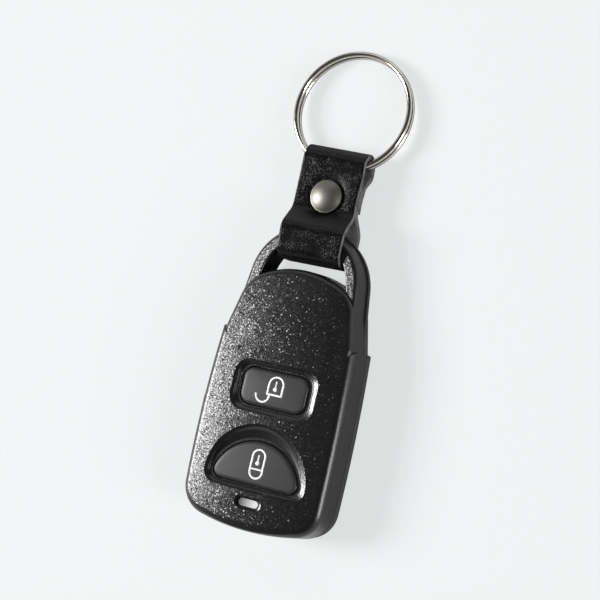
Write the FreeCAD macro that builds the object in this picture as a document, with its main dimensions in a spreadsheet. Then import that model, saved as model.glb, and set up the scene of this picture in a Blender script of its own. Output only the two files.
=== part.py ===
# Car key remote: housing in two shells with a hanging loop, two front buttons and one side
# button over a circuit board with a coin cell, a riveted leather strap and a split ring.
# Millimetres. X is the width, Y runs from the foot of the housing to the ring, Z is the
# depth with the buttons on top. The origin is on the middle of the flat back.
import FreeCAD, Part
import Sketcher
import math
import os
import re
from FreeCAD import Placement, Rotation, Vector

doc = FreeCAD.newDocument("key_remote")

# Driving dimensions
DRIVING = [
    ("bottom_reach", 22.4), ("shoulder_y", 22.0), ("belly_half", 17.6), ("belly_y", -4.0),
    ("side_radius", 400.0), ("corner_radius", 7.0), ("bottom_radius", 55.0),
    ("crest_height", 12.6), ("cross_radius", 115.0), ("long_radius", 430.0),
    ("parting_height", 3.8), ("flank_draft", 2.0), ("rear_draft", 4.0),
    ("front_edge", 2.0), ("arch_edge", 1.5), ("rear_edge", 0.8),
    ("shoulder_step", 0.8), ("arch_top", 37.6), ("arch_top_radius", 22.0),
    ("arch_corner_radius", 9.0), ("arch_corner_x", 5.5), ("arch_root", 6.0),
    ("loop_centre_y", 34.1), ("loop_radius", 13.5), ("loop_band", 3.0), ("loop_foot_half", 15.5),
    ("loop_front", 9.7), ("loop_rear", 2.0), ("loop_root", 2.0),
    ("loop_outer_edge", 1.1), ("loop_inner_edge", 0.4), ("loop_flare", 0.3), ("loop_rear_edge", 0.4),
    ("wall", 1.4), ("rear_floor", 1.3), ("ceiling", 10.0),
    ("pry_width", 6.0), ("pry_depth", 0.9), ("pry_height", 0.8),
    ("lip_clearance", 0.1), ("lip_width", 0.7), ("lip_height", 1.0),
    ("unlock_y", 9.7), ("unlock_half_length", 8.1), ("unlock_half_width", 4.15),
    ("unlock_corner", 2.4), ("unlock_well_length", 10.0), ("unlock_well_width", 5.5),
    ("unlock_well_corner", 3.2),
    ("lock_arc_y", -13.1), ("lock_arc_radius", 11.0), ("lock_base_y", -11.9),
    ("lock_corner", 1.9), ("lock_well_arc_y", -10.8), ("lock_well_radius", 12.2),
    ("lock_well_base_y", -13.1), ("lock_well_corner", 2.6),
    ("button_gap", 0.25), ("well_lip", 0.5), ("well_floor", 11.2), ("button_top", 11.9),
    ("button_edge", 0.5), ("button_travel", 0.6), ("flange_width", 0.8), ("flange_height", 0.7),
    ("flange_clearance", 0.1), ("flange_gap", 0.2), ("nib_radius", 1.3),
    ("mat_height", 0.8), ("mat_rim", 1.2), ("mat_low_y", -14.4), ("mat_high_y", 15.6),
    ("mat_corner", 3.0), ("mat_leg_radius", 0.8), ("mat_leg_inset", 1.5), ("mat_leg_low_y", -12.2),
    ("mat_leg_high_y", 13.8),
    ("board_rest", 5.4), ("board_thickness", 1.0), ("board_inset", 1.9), ("post_radius", 1.2),
    ("post_x", 12.8), ("post_low_y", -14.8), ("post_high_y", 17.2),
    ("switch_size", 4.5), ("switch_height", 1.6), ("lock_switch_y", -7.4),
    ("plunger_radius", 1.0), ("plunger_stand", 0.5), ("plunger_depth", 0.9),
    ("plunger_travel", 0.25), ("plunger_clearance", 0.05), ("switch_floor", 0.3),
    ("panic_y", 2.0), ("panic_z", 8.15), ("panic_half_length", 4.0), ("panic_half_height", 1.3),
    ("panic_corner", 1.2), ("panic_stand", 0.15), ("panic_travel", 0.5),
    ("panic_flange", 0.8), ("panic_flange_width", 0.35), ("panic_nib", 0.6),
    ("panic_nib_radius", 0.7), ("panic_seat_gap", 0.15), ("panic_edge", 0.25),
    ("side_switch_height", 2.6), ("side_plunger_radius", 0.6),
    ("lamp_y", -15.9), ("lamp_slot_half", 2.95), ("lamp_slot_height", 2.2),
    ("lamp_half", 2.4), ("lamp_height", 1.7), ("lamp_top", 11.75), ("lamp_slot_floor", 11.3),
    ("lamp_flange", 0.5), ("lamp_foot", 7.9), ("lamp_clearance", 0.05), ("lamp_rim_height", 0.6),
    ("slot_flat", 0.02),
    ("led_length", 1.6), ("led_width", 0.8), ("led_height", 0.8),
    ("cell_radius", 10.0), ("cell_y", 3.5), ("cell_height", 3.2), ("cell_can_height", 2.7),
    ("cell_cap_radius", 8.6), ("cell_rib", 0.3), ("cell_rib_radius", 7.0), ("contact_thickness", 0.3),
    ("screw_y", 19.6), ("screw_radius", 0.9), ("screw_head_radius", 1.75),
    ("screw_head_height", 1.0), ("screw_length", 8.0), ("boss_radius", 2.1), ("boss_end", 4.8),
    ("screw_clearance", 0.05), ("screw_recess", 0.1), ("screw_tip", 0.5), ("bore_depth", 0.3),
    ("cell_edge", 0.3), ("cell_step", 0.2), ("cell_rib_width", 1.0), ("board_hole_gap", 0.25),
    ("strap_width", 15.6), ("strap_thickness", 1.3), ("strap_fold_y", 39.3),
    ("strap_bar_clearance", 0.25), ("strap_layer_gap", 0.06),
    ("ring_fold_y", 66.6), ("ring_fold_bore", 4.4),
    ("rivet_y", 54.9), ("rivet_radius", 3.8), ("rivet_rise", 1.6), ("rivet_brim", 0.5),
    ("rivet_shank", 1.25), ("rivet_base_radius", 3.0), ("rivet_base_height", 0.9),
    ("chip_size", 4.4), ("chip_height", 0.9), ("chip_x", -3.4), ("chip_y", 1.3),
    ("filter_size", 3.4), ("filter_height", 1.1), ("filter_x", 4.6), ("filter_y", 2.2),
    ("crystal_length", 3.2), ("crystal_width", 2.5), ("crystal_height", 0.8), ("crystal_x", 5.8),
    ("crystal_y", -3.2), ("passive_length", 1.6), ("passive_width", 0.8), ("passive_height", 0.7),
    ("passive_step", 2.2), ("resistor_x", 9.6), ("capacitor_x", -8.6), ("passive_y", -11.0),
    ("coil_radius", 1.6), ("coil_height", 1.8), ("coil_y", 27.0), ("coil_wall", 0.6),
    ("coil_floor", 0.5),
    ("contact_width", 5.0), ("contact_foot", 3.0), ("contact_clearance", 0.05),
    ("contact_start", 0.6), ("nub_radius", 1.0), ("nub_root_radius", 2.2), ("nub_clearance", 0.02),
    ("negative_width", 6.0), ("negative_length", 9.0),
    ("strap_lower_end", 2.3), ("strap_lower_run", 4.1), ("strap_back_run", 6.7),
    ("strap_front_run", 4.7), ("strap_front_drop", 0.1), ("strap_rear_drop", 0.1),
    ("strap_rear_run", 3.0), ("strap_upper_end", 3.1), ("strap_bend", 2.0), ("strap_front_bend", 1.6),
    ("strap_fold_bend", 2.2), ("rivet_clearance", 0.03), ("rivet_floor", 0.3), ("rivet_edge", 0.4),
    ("ring_radius", 14.4), ("ring_wire", 1.25), ("ring_pitch", 1.7), ("ring_jog_angle", 34.0),
    ("ring_jog_start", -50.0), ("table_clearance", 0.02),
    ("overlap", 0.5), ("overcut", 1.0), ("press_slack", 0.02),
    ("cutter_margin", 10.0), ("cutter_cover", 6.0), ("block_spare", 2.0), ("rim_band", 4.0),
    ("face_lift", 0.1), ("end_band", 0.5),
]
sheet = doc.addObject("Spreadsheet::Sheet", "Sizes")
for row, (alias, number) in enumerate(DRIVING, start=1):
    sheet.set("A%d" % row, alias)
    sheet.set("B%d" % row, "%g" % number)
    sheet.setAlias("B%d" % row, alias)
doc.recompute()


class SheetValues:
    """Reads a driving dimension from the sheet, as in size.wall."""

    def __getattr__(self, alias):
        return float(sheet.get(alias))


size = SheetValues()
ALIASES = [alias for alias, number in DRIVING]
WORD = re.compile(r"[A-Za-z_][A-Za-z_0-9]*")

# Lengths worked out from the driving ones, written as formulas of the sheet
SHOULDER_HALF = "(belly_half - side_radius + sqrt(side_radius^2 - (shoulder_y - belly_y)^2))"
ARCH_HALF = "(%s - shoulder_step)" % SHOULDER_HALF
MAT_HALF = "(lock_arc_radius + flange_width + flange_gap + mat_rim)"
MAT_LEG = "(%s - mat_leg_inset)" % MAT_HALF
BOARD_TOP = "(board_rest + board_thickness)"
MAT_BOTTOM = "(ceiling - mat_height)"
SWITCH_TOP = "(%s + switch_height)" % BOARD_TOP
NIB_END = "(%s + plunger_stand + button_travel - plunger_travel + press_slack)" % SWITCH_TOP


def formula(text):
    """Turns the aliases in a formula into references to the sheet."""
    return WORD.sub(lambda m: "Sizes." + m.group(0) if m.group(0) in ALIASES else m.group(0), str(text))


def value(text):
    """The number that a formula of the sheet gives now."""
    return float(sheet.evalExpression(formula(text)))


def bind(obj, **formulas):
    """Binds properties such as Length or Placement_Base_z to formulas of the sheet."""
    for name, text in formulas.items():
        obj.setExpression(name.replace("__", "."), formula(text))


def crossing(ax, ay, ar, bx, by, br, side):
    """Point at distance ar from (ax, ay) and br from (bx, by), on the given side."""
    dx, dy = bx - ax, by - ay
    gap = math.hypot(dx, dy)
    along = (ar * ar - br * br + gap * gap) / (2 * gap)
    across = side * math.sqrt(ar * ar - along * along)
    return ax + (along * dx - across * dy) / gap, ay + (along * dy + across * dx) / gap


def tangent_point(px, py, cx, cy, r, side):
    """Where the line from (px, py) touches the circle, on the given side."""
    gap = math.hypot(cx - px, cy - py)
    reach = math.sqrt(gap * gap - r * r)
    return crossing(px, py, reach, cx, cy, r, side)


class Profile:
    """A closed outline of lines and arcs, walked anticlockwise, with its size constraints."""

    def __init__(self, body, name, plane="XY_Plane", lift="0"):
        self.sketch = body.newObject("Sketcher::SketchObject", name)
        origin = [f for f in body.Origin.OriginFeatures if f.Role == plane][0]
        self.sketch.AttachmentSupport = [(origin, "")]
        self.sketch.MapMode = "FlatFace"
        bind(self.sketch, AttachmentOffset__Base__z=lift)

    def arc(self, cx, cy, radius, start, end):
        circle = Part.Circle(Vector(cx, cy, 0), Vector(0, 0, 1), radius)
        return self.sketch.addGeometry(Part.ArcOfCircle(circle, start, end), False)

    def line(self, x0, y0, x1, y1):
        return self.sketch.addGeometry(Part.LineSegment(Vector(x0, y0, 0), Vector(x1, y1, 0)), False)

    def circle(self, cx, cy, radius):
        circle = Part.Circle(Vector(cx, cy, 0), Vector(0, 0, 1), radius)
        return self.sketch.addGeometry(circle, False)

    def join(self, first, second, kind="Coincident"):
        self.sketch.addConstraint(Sketcher.Constraint(kind, first, 2, second, 1))

    def datum(self, kind, *args, text):
        point = self.sketch.getPoint(args[-2], args[-1]) if kind != "Radius" else None
        value = {"DistanceX": lambda: point.x, "DistanceY": lambda: point.y,
                 "Radius": lambda: self.sketch.Geometry[args[0]].Radius}[kind]()
        number = self.sketch.addConstraint(Sketcher.Constraint(kind, *args, value))
        self.sketch.setExpression("Constraints[%d]" % number, formula(text))

    def place(self, item, point, x=None, y=None):
        """Binds the place of a point: 1 start, 2 end, 3 centre."""
        if x == "0":
            self.sketch.addConstraint(Sketcher.Constraint("PointOnObject", item, point, -2))
        elif x is not None:
            self.datum("DistanceX", -1, 1, item, point, text=x)
        if y == "0":
            self.sketch.addConstraint(Sketcher.Constraint("PointOnObject", item, point, -1))
        elif y is not None:
            self.datum("DistanceY", -1, 1, item, point, text=y)

    def radius(self, item, text):
        self.datum("Radius", item, text=text)

    def level(self, item, kind="Horizontal"):
        self.sketch.addConstraint(Sketcher.Constraint(kind, item))


def new_body(label):
    body = doc.addObject("PartDesign::Body", label)
    body.Label = label
    return body


def pad(body, sketch, length, taper="0", downward=False):
    feature = body.newObject("PartDesign::Pad", "Pad")
    feature.Profile = sketch
    feature.Reversed = downward
    bind(feature, Length=length, TaperAngle=taper)
    doc.recompute()
    return feature


def pocket_through(body, sketch):
    before = body.Shape.Volume
    feature = body.newObject("PartDesign::Pocket", "Pocket")
    feature.Profile = sketch
    feature.Type = "ThroughAll"
    feature.Midplane = True
    doc.recompute()
    if not body.Shape.Volume < before:
        raise RuntimeError("a pocket of %s removes nothing" % body.Label)
    return feature


def round_edges(body, picks, radius):
    """Rounds the edges of the last feature for which picks(midpoint, edge) holds."""
    base = body.Tip
    names = []
    for number, edge in enumerate(base.Shape.Edges, start=1):
        middle = edge.valueAt((edge.FirstParameter + edge.LastParameter) / 2)
        if picks(middle, edge):
            names.append("Edge%d" % number)
    feature = body.newObject("PartDesign::Fillet", "Fillet")
    feature.Base = (base, names)
    bind(feature, Radius=radius)
    doc.recompute()
    return feature


def boolean(kind, label, first, second):
    """Part::Cut, Part::Fuse or Part::Common of two objects; second may be a list."""
    if isinstance(second, list):
        second = fuse_all(label + "_tools", second) if len(second) > 1 else second[0]
    feature = doc.addObject("Part::" + kind, label)
    feature.Label = label
    feature.Base = first
    feature.Tool = second
    return feature


def fuse_all(label, members):
    feature = doc.addObject("Part::MultiFuse", label)
    feature.Label = label
    feature.Shapes = members
    return feature


def cylinder(label, radius, height, x="0", y="0", z="0"):
    solid = doc.addObject("Part::Cylinder", label)
    solid.Label = label
    bind(solid, Radius=radius, Height=height, Placement__Base__x=x, Placement__Base__y=y,
         Placement__Base__z=z)
    return solid


def block(label, length, width, height, x="0", y="0", z="0"):
    """A box centred on x and y that stands on z."""
    solid = doc.addObject("Part::Box", label)
    solid.Label = label
    bind(solid, Length=length, Width=width, Height=height,
         Placement__Base__x="(%s) - (%s) / 2" % (x, length),
         Placement__Base__y="(%s) - (%s) / 2" % (y, width), Placement__Base__z=z)
    return solid


# Outlines that both shells, the board and the cavities share

def housing_outline(body, inset, lift):
    """Foot, corners and sides of the housing up to the shoulder, moved inwards by inset."""
    p = Profile(body, "HousingOutline", lift=lift)
    amount = value(inset)
    side_x, side_y = size.belly_half - size.side_radius, size.belly_y
    foot_y = size.bottom_radius - size.bottom_reach
    cx, cy = crossing(side_x, side_y, size.side_radius - size.corner_radius,
                      0, foot_y, size.bottom_radius - size.corner_radius, -1)
    side_r, foot_r = size.side_radius - amount, size.bottom_radius - amount
    low = math.atan2(cy - side_y, cx - side_x)
    high = math.asin((size.shoulder_y - side_y) / side_r)
    foot = math.atan2(cy - foot_y, cx)
    corner_r = size.corner_radius - amount
    right = p.arc(side_x, side_y, side_r, low, high)
    top_x = side_x + side_r * math.cos(high)
    top = p.line(top_x, size.shoulder_y, -top_x, size.shoulder_y)
    left = p.arc(-side_x, side_y, side_r, math.pi - high, math.pi - low)
    left_corner = p.arc(-cx, cy, corner_r, math.pi - low, -math.pi - foot + 2 * math.pi)
    bottom = p.arc(0, foot_y, foot_r, -math.pi - foot + 2 * math.pi, foot + 2 * math.pi)
    right_corner = p.arc(cx, cy, corner_r, foot, low)
    p.join(right, top)
    p.join(top, left)
    for first, second in ((left, left_corner), (left_corner, bottom), (bottom, right_corner),
                          (right_corner, right)):
        p.join(first, second, "Tangent")
    for item, sign in ((right, ""), (left, "-")):
        p.place(item, 3, x="%s(belly_half - side_radius)" % sign, y="belly_y")
        p.radius(item, "side_radius - %s" % inset)
    p.place(bottom, 3, x="0", y="bottom_radius - bottom_reach")
    p.radius(bottom, "bottom_radius - %s" % inset)
    p.radius(left_corner, "corner_radius - %s" % inset)
    p.radius(right_corner, "corner_radius - %s" % inset)
    p.level(top)
    p.place(top, 1, y="shoulder_y")
    return p.sketch


def arch_outline(body, inset, lift):
    """The arched head of the housing above the shoulder, with a root inside the housing."""
    p = Profile(body, "ArchOutline", lift=lift)
    amount = value(inset)
    half = value(ARCH_HALF) - amount
    root_y = size.shoulder_y - size.arch_root
    top_y = size.arch_top - size.arch_top_radius
    reach = size.arch_top_radius - size.arch_corner_radius
    cx = size.arch_corner_x
    cy = top_y + math.sqrt(reach ** 2 - cx ** 2)
    corner_r, top_r = size.arch_corner_radius - amount, size.arch_top_radius - amount
    tx, ty = tangent_point(half, size.shoulder_y, cx, cy, corner_r, -1)
    low = math.atan2(ty - cy, tx - cx)
    high = math.atan2(cy - top_y, cx)
    right_foot = p.line(half, root_y, half, size.shoulder_y)
    right = p.line(half, size.shoulder_y, tx, ty)
    right_corner = p.arc(cx, cy, corner_r, low, high)
    top = p.arc(0, top_y, top_r, high, math.pi - high)
    left_corner = p.arc(-cx, cy, corner_r, math.pi - high, math.pi - low)
    left = p.line(-tx, ty, -half, size.shoulder_y)
    left_foot = p.line(-half, size.shoulder_y, -half, root_y)
    root = p.line(-half, root_y, half, root_y)
    for first, second in ((right_foot, right), (left, left_foot), (left_foot, root), (root, right_foot)):
        p.join(first, second)
    for first, second in ((right, right_corner), (right_corner, top), (top, left_corner),
                          (left_corner, left)):
        p.join(first, second, "Tangent")
    p.place(top, 3, x="0", y="arch_top - arch_top_radius")
    p.radius(top, "arch_top_radius - %s" % inset)
    for item, sign in ((right_corner, ""), (left_corner, "-")):
        p.place(item, 3, x="%sarch_corner_x" % sign)
        p.radius(item, "arch_corner_radius - %s" % inset)
    p.place(right, 1, x="%s - %s" % (ARCH_HALF, inset), y="shoulder_y")
    p.place(left, 2, x="-(%s - %s)" % (ARCH_HALF, inset), y="shoulder_y")
    p.place(right_foot, 1, x="%s - %s" % (ARCH_HALF, inset), y="shoulder_y - arch_root")
    p.place(left_foot, 2, x="-(%s - %s)" % (ARCH_HALF, inset), y="shoulder_y - arch_root")
    return p.sketch


def loop_outline(body, inset, root, lift):
    """The hanging loop: two leaning legs and a round head, moved inwards by inset."""
    p = Profile(body, "LoopOutline", lift=lift)
    amount, root_y = value(inset), value(root)
    half, radius = size.loop_foot_half - amount, size.loop_radius - amount
    cy = size.loop_centre_y
    tx, ty = tangent_point(half, root_y, 0, cy, radius, -1)
    low = math.atan2(ty - cy, tx)
    right = p.line(half, root_y, tx, ty)
    head = p.arc(0, cy, radius, low, math.pi - low)
    left = p.line(-tx, ty, -half, root_y)
    foot = p.line(-half, root_y, half, root_y)
    p.join(right, head, "Tangent")
    p.join(head, left, "Tangent")
    p.join(left, foot)
    p.join(foot, right)
    p.place(head, 3, x="0", y="loop_centre_y")
    p.radius(head, "loop_radius - %s" % inset)
    p.place(right, 1, x="loop_foot_half - %s" % inset, y=root)
    p.place(left, 2, x="-(loop_foot_half - %s)" % inset, y=root)
    return p.sketch


def rounded_rectangle(body, cx, cy, half_x, half_y, corner, plane="XY_Plane", lift="0"):
    """A rectangle with four equal round corners."""
    x, y, hx, hy, r = [value(text) for text in (cx, cy, half_x, half_y, corner)]
    p = Profile(body, "RoundedRectangle", plane, lift)
    ix, iy = hx - r, hy - r
    right = p.line(x + hx, y - iy, x + hx, y + iy)
    corner_a = p.arc(x + ix, y + iy, r, 0, math.pi / 2)
    top = p.line(x + ix, y + hy, x - ix, y + hy)
    corner_b = p.arc(x - ix, y + iy, r, math.pi / 2, math.pi)
    left = p.line(x - hx, y + iy, x - hx, y - iy)
    corner_c = p.arc(x - ix, y - iy, r, math.pi, 1.5 * math.pi)
    bottom = p.line(x - ix, y - hy, x + ix, y - hy)
    corner_d = p.arc(x + ix, y - iy, r, 1.5 * math.pi, 2 * math.pi)
    order = [right, corner_a, top, corner_b, left, corner_c, bottom, corner_d]
    for first, second in zip(order, order[1:] + order[:1]):
        p.join(first, second, "Tangent")
    signs = ((corner_a, "+", "+"), (corner_b, "-", "+"), (corner_c, "-", "-"), (corner_d, "+", "-"))
    for item, sx, sy in signs:
        p.place(item, 3, x="(%s) %s ((%s) - (%s))" % (cx, sx, half_x, corner),
                y="(%s) %s ((%s) - (%s))" % (cy, sy, half_y, corner))
    p.radius(corner_a, corner)
    return p.sketch


def half_moon(body, arc_y, arc_radius, base_y, corner, lift="0"):
    """The lock button's outline: one round top on a straight base with small corners."""
    cy, big, base, r = [value(text) for text in (arc_y, arc_radius, base_y, corner)]
    p = Profile(body, "HalfMoon", lift=lift)
    corner_y = base + r
    corner_x = math.sqrt((big - r) ** 2 - (corner_y - cy) ** 2)
    low = math.atan2(corner_y - cy, corner_x)
    top = p.arc(0, cy, big, low, math.pi - low)
    left = p.arc(-corner_x, corner_y, r, math.pi - low, 1.5 * math.pi)
    bottom = p.line(-corner_x, base, corner_x, base)
    right = p.arc(corner_x, corner_y, r, -math.pi / 2, low)
    for first, second in ((top, left), (left, bottom), (bottom, right), (right, top)):
        p.join(first, second, "Tangent")
    p.level(bottom)
    p.place(top, 3, x="0", y=arc_y)
    p.radius(top, arc_radius)
    p.place(bottom, 1, y=base_y)
    p.radius(left, corner)
    p.radius(right, corner)
    return p.sketch


def dome_cut(body):
    """Cuts the top of a body to the face's long and cross curves."""
    p = Profile(body, "FaceCurve", "YZ_Plane")
    bind(p.sketch, AttachmentOffset__Base__y="crest_height - cross_radius")
    low, high = -size.bottom_reach - size.cutter_margin, size.arch_top + size.cutter_margin
    above = size.cross_radius + size.cutter_cover
    centre = size.cross_radius - size.long_radius

    def drop(y):
        return centre + math.sqrt(size.long_radius ** 2 - y ** 2)

    a0 = math.atan2(drop(high) - centre, high)
    a1 = math.atan2(drop(low) - centre, low)
    curve = p.arc(0, centre, size.long_radius, a0, a1)
    left = p.line(low, drop(low), low, above)
    top = p.line(low, above, high, above)
    right = p.line(high, above, high, drop(high))
    p.join(curve, left)
    p.join(left, top)
    p.join(top, right)
    p.join(right, curve)
    p.level(top)
    p.level(left, "Vertical")
    p.level(right, "Vertical")
    p.place(curve, 3, x="0", y="cross_radius - long_radius")
    p.radius(curve, "long_radius")
    p.place(top, 1, x="-bottom_reach - cutter_margin", y="cross_radius + cutter_cover")
    p.place(top, 2, x="arch_top + cutter_margin")
    before = body.Shape.Volume
    groove = body.newObject("PartDesign::Groove", "FaceCut")
    groove.Profile = p.sketch
    groove.ReferenceAxis = (p.sketch, ["H_Axis"])
    groove.Angle = 360
    doc.recompute()
    if not body.Shape.Volume < before:
        raise RuntimeError("the face cut of %s removes nothing" % body.Label)


def outline_pad(label, outline, inset, low, high, taper="0"):
    """A plain body with one of the shared outlines, from the height low to high."""
    body = new_body(label)
    pad(body, outline(body, inset, low), "(%s) - (%s)" % (high, low), taper)
    return body


def loop_half(label, low, high, edge_height, inset, outer_edge):
    """One half of the hanging loop, with its free edges rounded."""
    body = new_body(label)
    root = "shoulder_y - loop_root"
    pad(body, loop_outline(body, inset, root, low), "(%s) - (%s)" % (high, low))
    pocket_through(body, loop_outline(body, "loop_band", "shoulder_y - 2 * loop_root", low))
    level = value(edge_height)
    middle = size.loop_radius - size.loop_band / 2
    foot = size.shoulder_y - size.loop_root + 0.01

    def on_rim(point, edge, outer):
        reach = math.hypot(point.x, point.y - size.loop_centre_y)
        lean = point.y < size.loop_centre_y and abs(point.x) > size.loop_foot_half - size.loop_band * 0.5
        far = reach > middle if point.y > size.loop_centre_y else lean
        return abs(point.z - level) < 1e-4 and point.y > foot and far == outer

    round_edges(body, lambda point, edge: on_rim(point, edge, True), outer_edge)
    round_edges(body, lambda point, edge: on_rim(point, edge, False), "loop_inner_edge")
    return body


# Front cover

def shell_block(label, outline, low, edge):
    """Outer form of the front cover: an outline drawn upwards, cut to the face and rounded."""
    body = new_body(label)
    pad(body, outline(body, "0", low), "crest_height + block_spare - (%s)" % low, "-flank_draft")
    dome_cut(body)
    top = size.crest_height - size.rim_band

    def rim(point, edge):
        flat_end = outline is housing_outline and point.y > size.shoulder_y - 0.01
        root = outline is arch_outline and point.y < size.shoulder_y - size.arch_root + 0.01
        ends = [vertex.Point.z for vertex in edge.Vertexes]
        return point.z > top and min(ends) > top and not flat_end and not root

    round_edges(body, rim, edge)
    return body


housing_block = shell_block("housing_block", housing_outline, "parting_height", "front_edge")
arch_block = shell_block("arch_block", arch_outline, "parting_height", "arch_edge")
loop_front = loop_half("loop_front_half", "parting_height", "loop_front", "loop_front", "0",
                       "loop_outer_edge")
front_solid = fuse_all("front_solid", [housing_block, arch_block, loop_front])
front_hollow = fuse_all("front_hollow", [
    outline_pad("front_hollow_low", housing_outline, "wall", "parting_height - overcut", "ceiling"),
    outline_pad("front_hollow_high", arch_outline, "wall", "parting_height - overcut", "ceiling")])
front_shell = boolean("Cut", "front_shell", front_solid, front_hollow)
front_boss = cylinder("front_boss", "boss_radius", "ceiling - boss_end + overlap", y="screw_y", z="boss_end")

# The wells round the two front buttons: a sloping wall down to a thin lip, then the opening

UNLOCK = ("unlock_half_length", "unlock_half_width", "unlock_corner")


def unlock_outline(body, grow, lift):
    """The unlock button's outline, moved outwards by grow."""
    half_x, half_y, corner = ["%s + %s" % (text, grow) for text in UNLOCK]
    return rounded_rectangle(body, "0", "unlock_y", half_x, half_y, corner, lift=lift)


def lock_outline(body, grow, lift):
    """The lock button's outline, moved outwards by grow."""
    return half_moon(body, "lock_arc_y", "lock_arc_radius + %s" % grow, "lock_base_y - (%s)" % grow,
                     "lock_corner + %s" % grow, lift)


def well(label, outline, upper):
    """Cutter for a well: a loft from the lip up to the wider outline above the face."""
    body = new_body(label)
    lower = outline(body, "button_gap + well_lip", "well_floor")
    loft = body.newObject("PartDesign::AdditiveLoft", "WellWall")
    loft.Profile = lower
    loft.Sections = [upper(body)]
    loft.Ruled = True
    doc.recompute()
    return body


def opening(label, outline, grow, low, high):
    body = new_body(label)
    pad(body, outline(body, grow, low), "(%s) - (%s)" % (high, low))
    return body


ABOVE_FACE = "(crest_height + face_lift)"
unlock_well = well("unlock_well", unlock_outline, lambda body: rounded_rectangle(
    body, "0", "unlock_y", "unlock_well_length", "unlock_well_width", "unlock_well_corner",
    lift=ABOVE_FACE))
lock_well = well("lock_well", lock_outline, lambda body: half_moon(
    body, "lock_well_arc_y", "lock_well_radius", "lock_well_base_y", "lock_well_corner", ABOVE_FACE))
unlock_opening = opening("unlock_opening", unlock_outline, "button_gap", "ceiling - overcut", ABOVE_FACE)
lock_opening = opening("lock_opening", lock_outline, "button_gap", "ceiling - overcut", ABOVE_FACE)


def slot_pad(label, half_x, half_y, low, high):
    """A flat-sided oval block over the lamp."""
    body = new_body(label)
    sketch = rounded_rectangle(body, "0", "lamp_y", half_x, half_y, "(%s) - slot_flat" % half_y, lift=low)
    pad(body, sketch, "(%s) - (%s)" % (high, low))
    return body


lamp_slot = slot_pad("lamp_slot", "lamp_slot_half", "lamp_slot_height / 2", "lamp_slot_floor", ABOVE_FACE)
lamp_opening = slot_pad("lamp_opening", "lamp_half + lamp_clearance", "lamp_height / 2 + lamp_clearance",
                        "ceiling - overcut", ABOVE_FACE)


def side_pad(label, grow, near, far):
    """A block of the side button's outline on the left flank, from x = -far to x = -near."""
    body = new_body(label)
    sketch = rounded_rectangle(body, "panic_y", "panic_z", "panic_half_length + %s" % grow,
                               "panic_half_height + %s" % grow, "panic_corner + %s" % grow,
                               plane="YZ_Plane", lift="-(%s)" % far)
    pad(body, sketch, "(%s) - (%s)" % (far, near))
    return body


panic_opening = side_pad("panic_opening", "button_gap", "belly_half - wall - overcut",
                         "belly_half + overcut")
boss_bore = cylinder("boss_bore", "screw_radius + screw_clearance",
                     "screw_length + screw_tip + bore_depth - boss_end + overcut", y="screw_y",
                     z="boss_end - overcut")
front_cover = boolean("Cut", "front_cover", fuse_all("front_with_boss", [front_shell, front_boss]), [
    unlock_well, lock_well, unlock_opening, lock_opening, lamp_slot, lamp_opening, panic_opening,
    boss_bore])

# Rear cover


def rear_block(label, outline):
    """Outer form of the rear cover, drawn downwards from the parting line."""
    body = new_body(label)
    pad(body, outline(body, "0", "parting_height"), "parting_height", "-rear_draft", downward=True)

    def rim(point, edge):
        flat_end = outline is housing_outline and point.y > size.shoulder_y - size.end_band
        root = outline is arch_outline and point.y < size.shoulder_y - size.arch_root + size.end_band
        return abs(point.z) < 1e-4 and not flat_end and not root

    round_edges(body, rim, "rear_edge")
    return body


rear_solid = fuse_all("rear_solid", [
    rear_block("rear_housing", housing_outline), rear_block("rear_arch", arch_outline),
    loop_half("loop_rear_half", "loop_rear", "parting_height", "loop_rear",
              "(-loop_flare)", "loop_rear_edge")])
rear_hollow = fuse_all("rear_hollow", [
    outline_pad("rear_hollow_low", housing_outline, "wall", "rear_floor", "parting_height + overcut"),
    outline_pad("rear_hollow_high", arch_outline, "wall", "rear_floor", "parting_height + overcut")])
rear_shell = boolean("Cut", "rear_shell", rear_solid, rear_hollow)

LIP_OUTER = "(wall + lip_clearance)"
LIP_INNER = "(wall + lip_clearance + lip_width)"
LIP_TOP = "parting_height + lip_height"
IN_FLOOR = "(rear_floor - overlap)"
lip_body = fuse_all("lip_body", [
    outline_pad("lip_low", housing_outline, LIP_OUTER, IN_FLOOR, LIP_TOP),
    outline_pad("lip_high", arch_outline, LIP_OUTER, IN_FLOOR, LIP_TOP)])
lip_hollow = fuse_all("lip_hollow", [
    outline_pad("lip_hollow_low", housing_outline, LIP_INNER, "0", LIP_TOP + " + overcut"),
    outline_pad("lip_hollow_high", arch_outline, LIP_INNER, "0", LIP_TOP + " + overcut")])
lip = boolean("Cut", "lip", lip_body, lip_hollow)
posts = [cylinder("board_post", "post_radius", "board_rest - " + IN_FLOOR, x, y, IN_FLOOR)
         for x in ("post_x", "-post_x") for y in ("post_low_y", "post_high_y")]
screw_post = cylinder("screw_post", "boss_radius", "boss_end - " + IN_FLOOR, y="screw_y", z=IN_FLOOR)
rib_body = cylinder("cell_rib", "cell_rib_radius", "cell_rib + overlap", y="cell_y", z=IN_FLOOR)
rib_hollow = cylinder("cell_rib_hollow", "cell_rib_radius - cell_rib_width",
                      "rear_floor + cell_rib + overcut", y="cell_y")
cell_rib = boolean("Cut", "cell_rib_ring", rib_body, rib_hollow)
rear_body = fuse_all("rear_body", [rear_shell, lip, screw_post, cell_rib] + posts)
rear_cuts = [
    cylinder("rear_screw_bore", "screw_radius + screw_clearance", "boss_end + 2 * overcut", y="screw_y",
             z="-overcut"),
    cylinder("rear_screw_seat", "screw_head_radius + screw_clearance",
             "screw_recess + screw_head_height + overcut", y="screw_y", z="-overcut"),
    block("pry_slot", "pry_width", "2 * pry_depth", "pry_height + overcut", y="-bottom_reach",
          z="parting_height - pry_height")]
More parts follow.
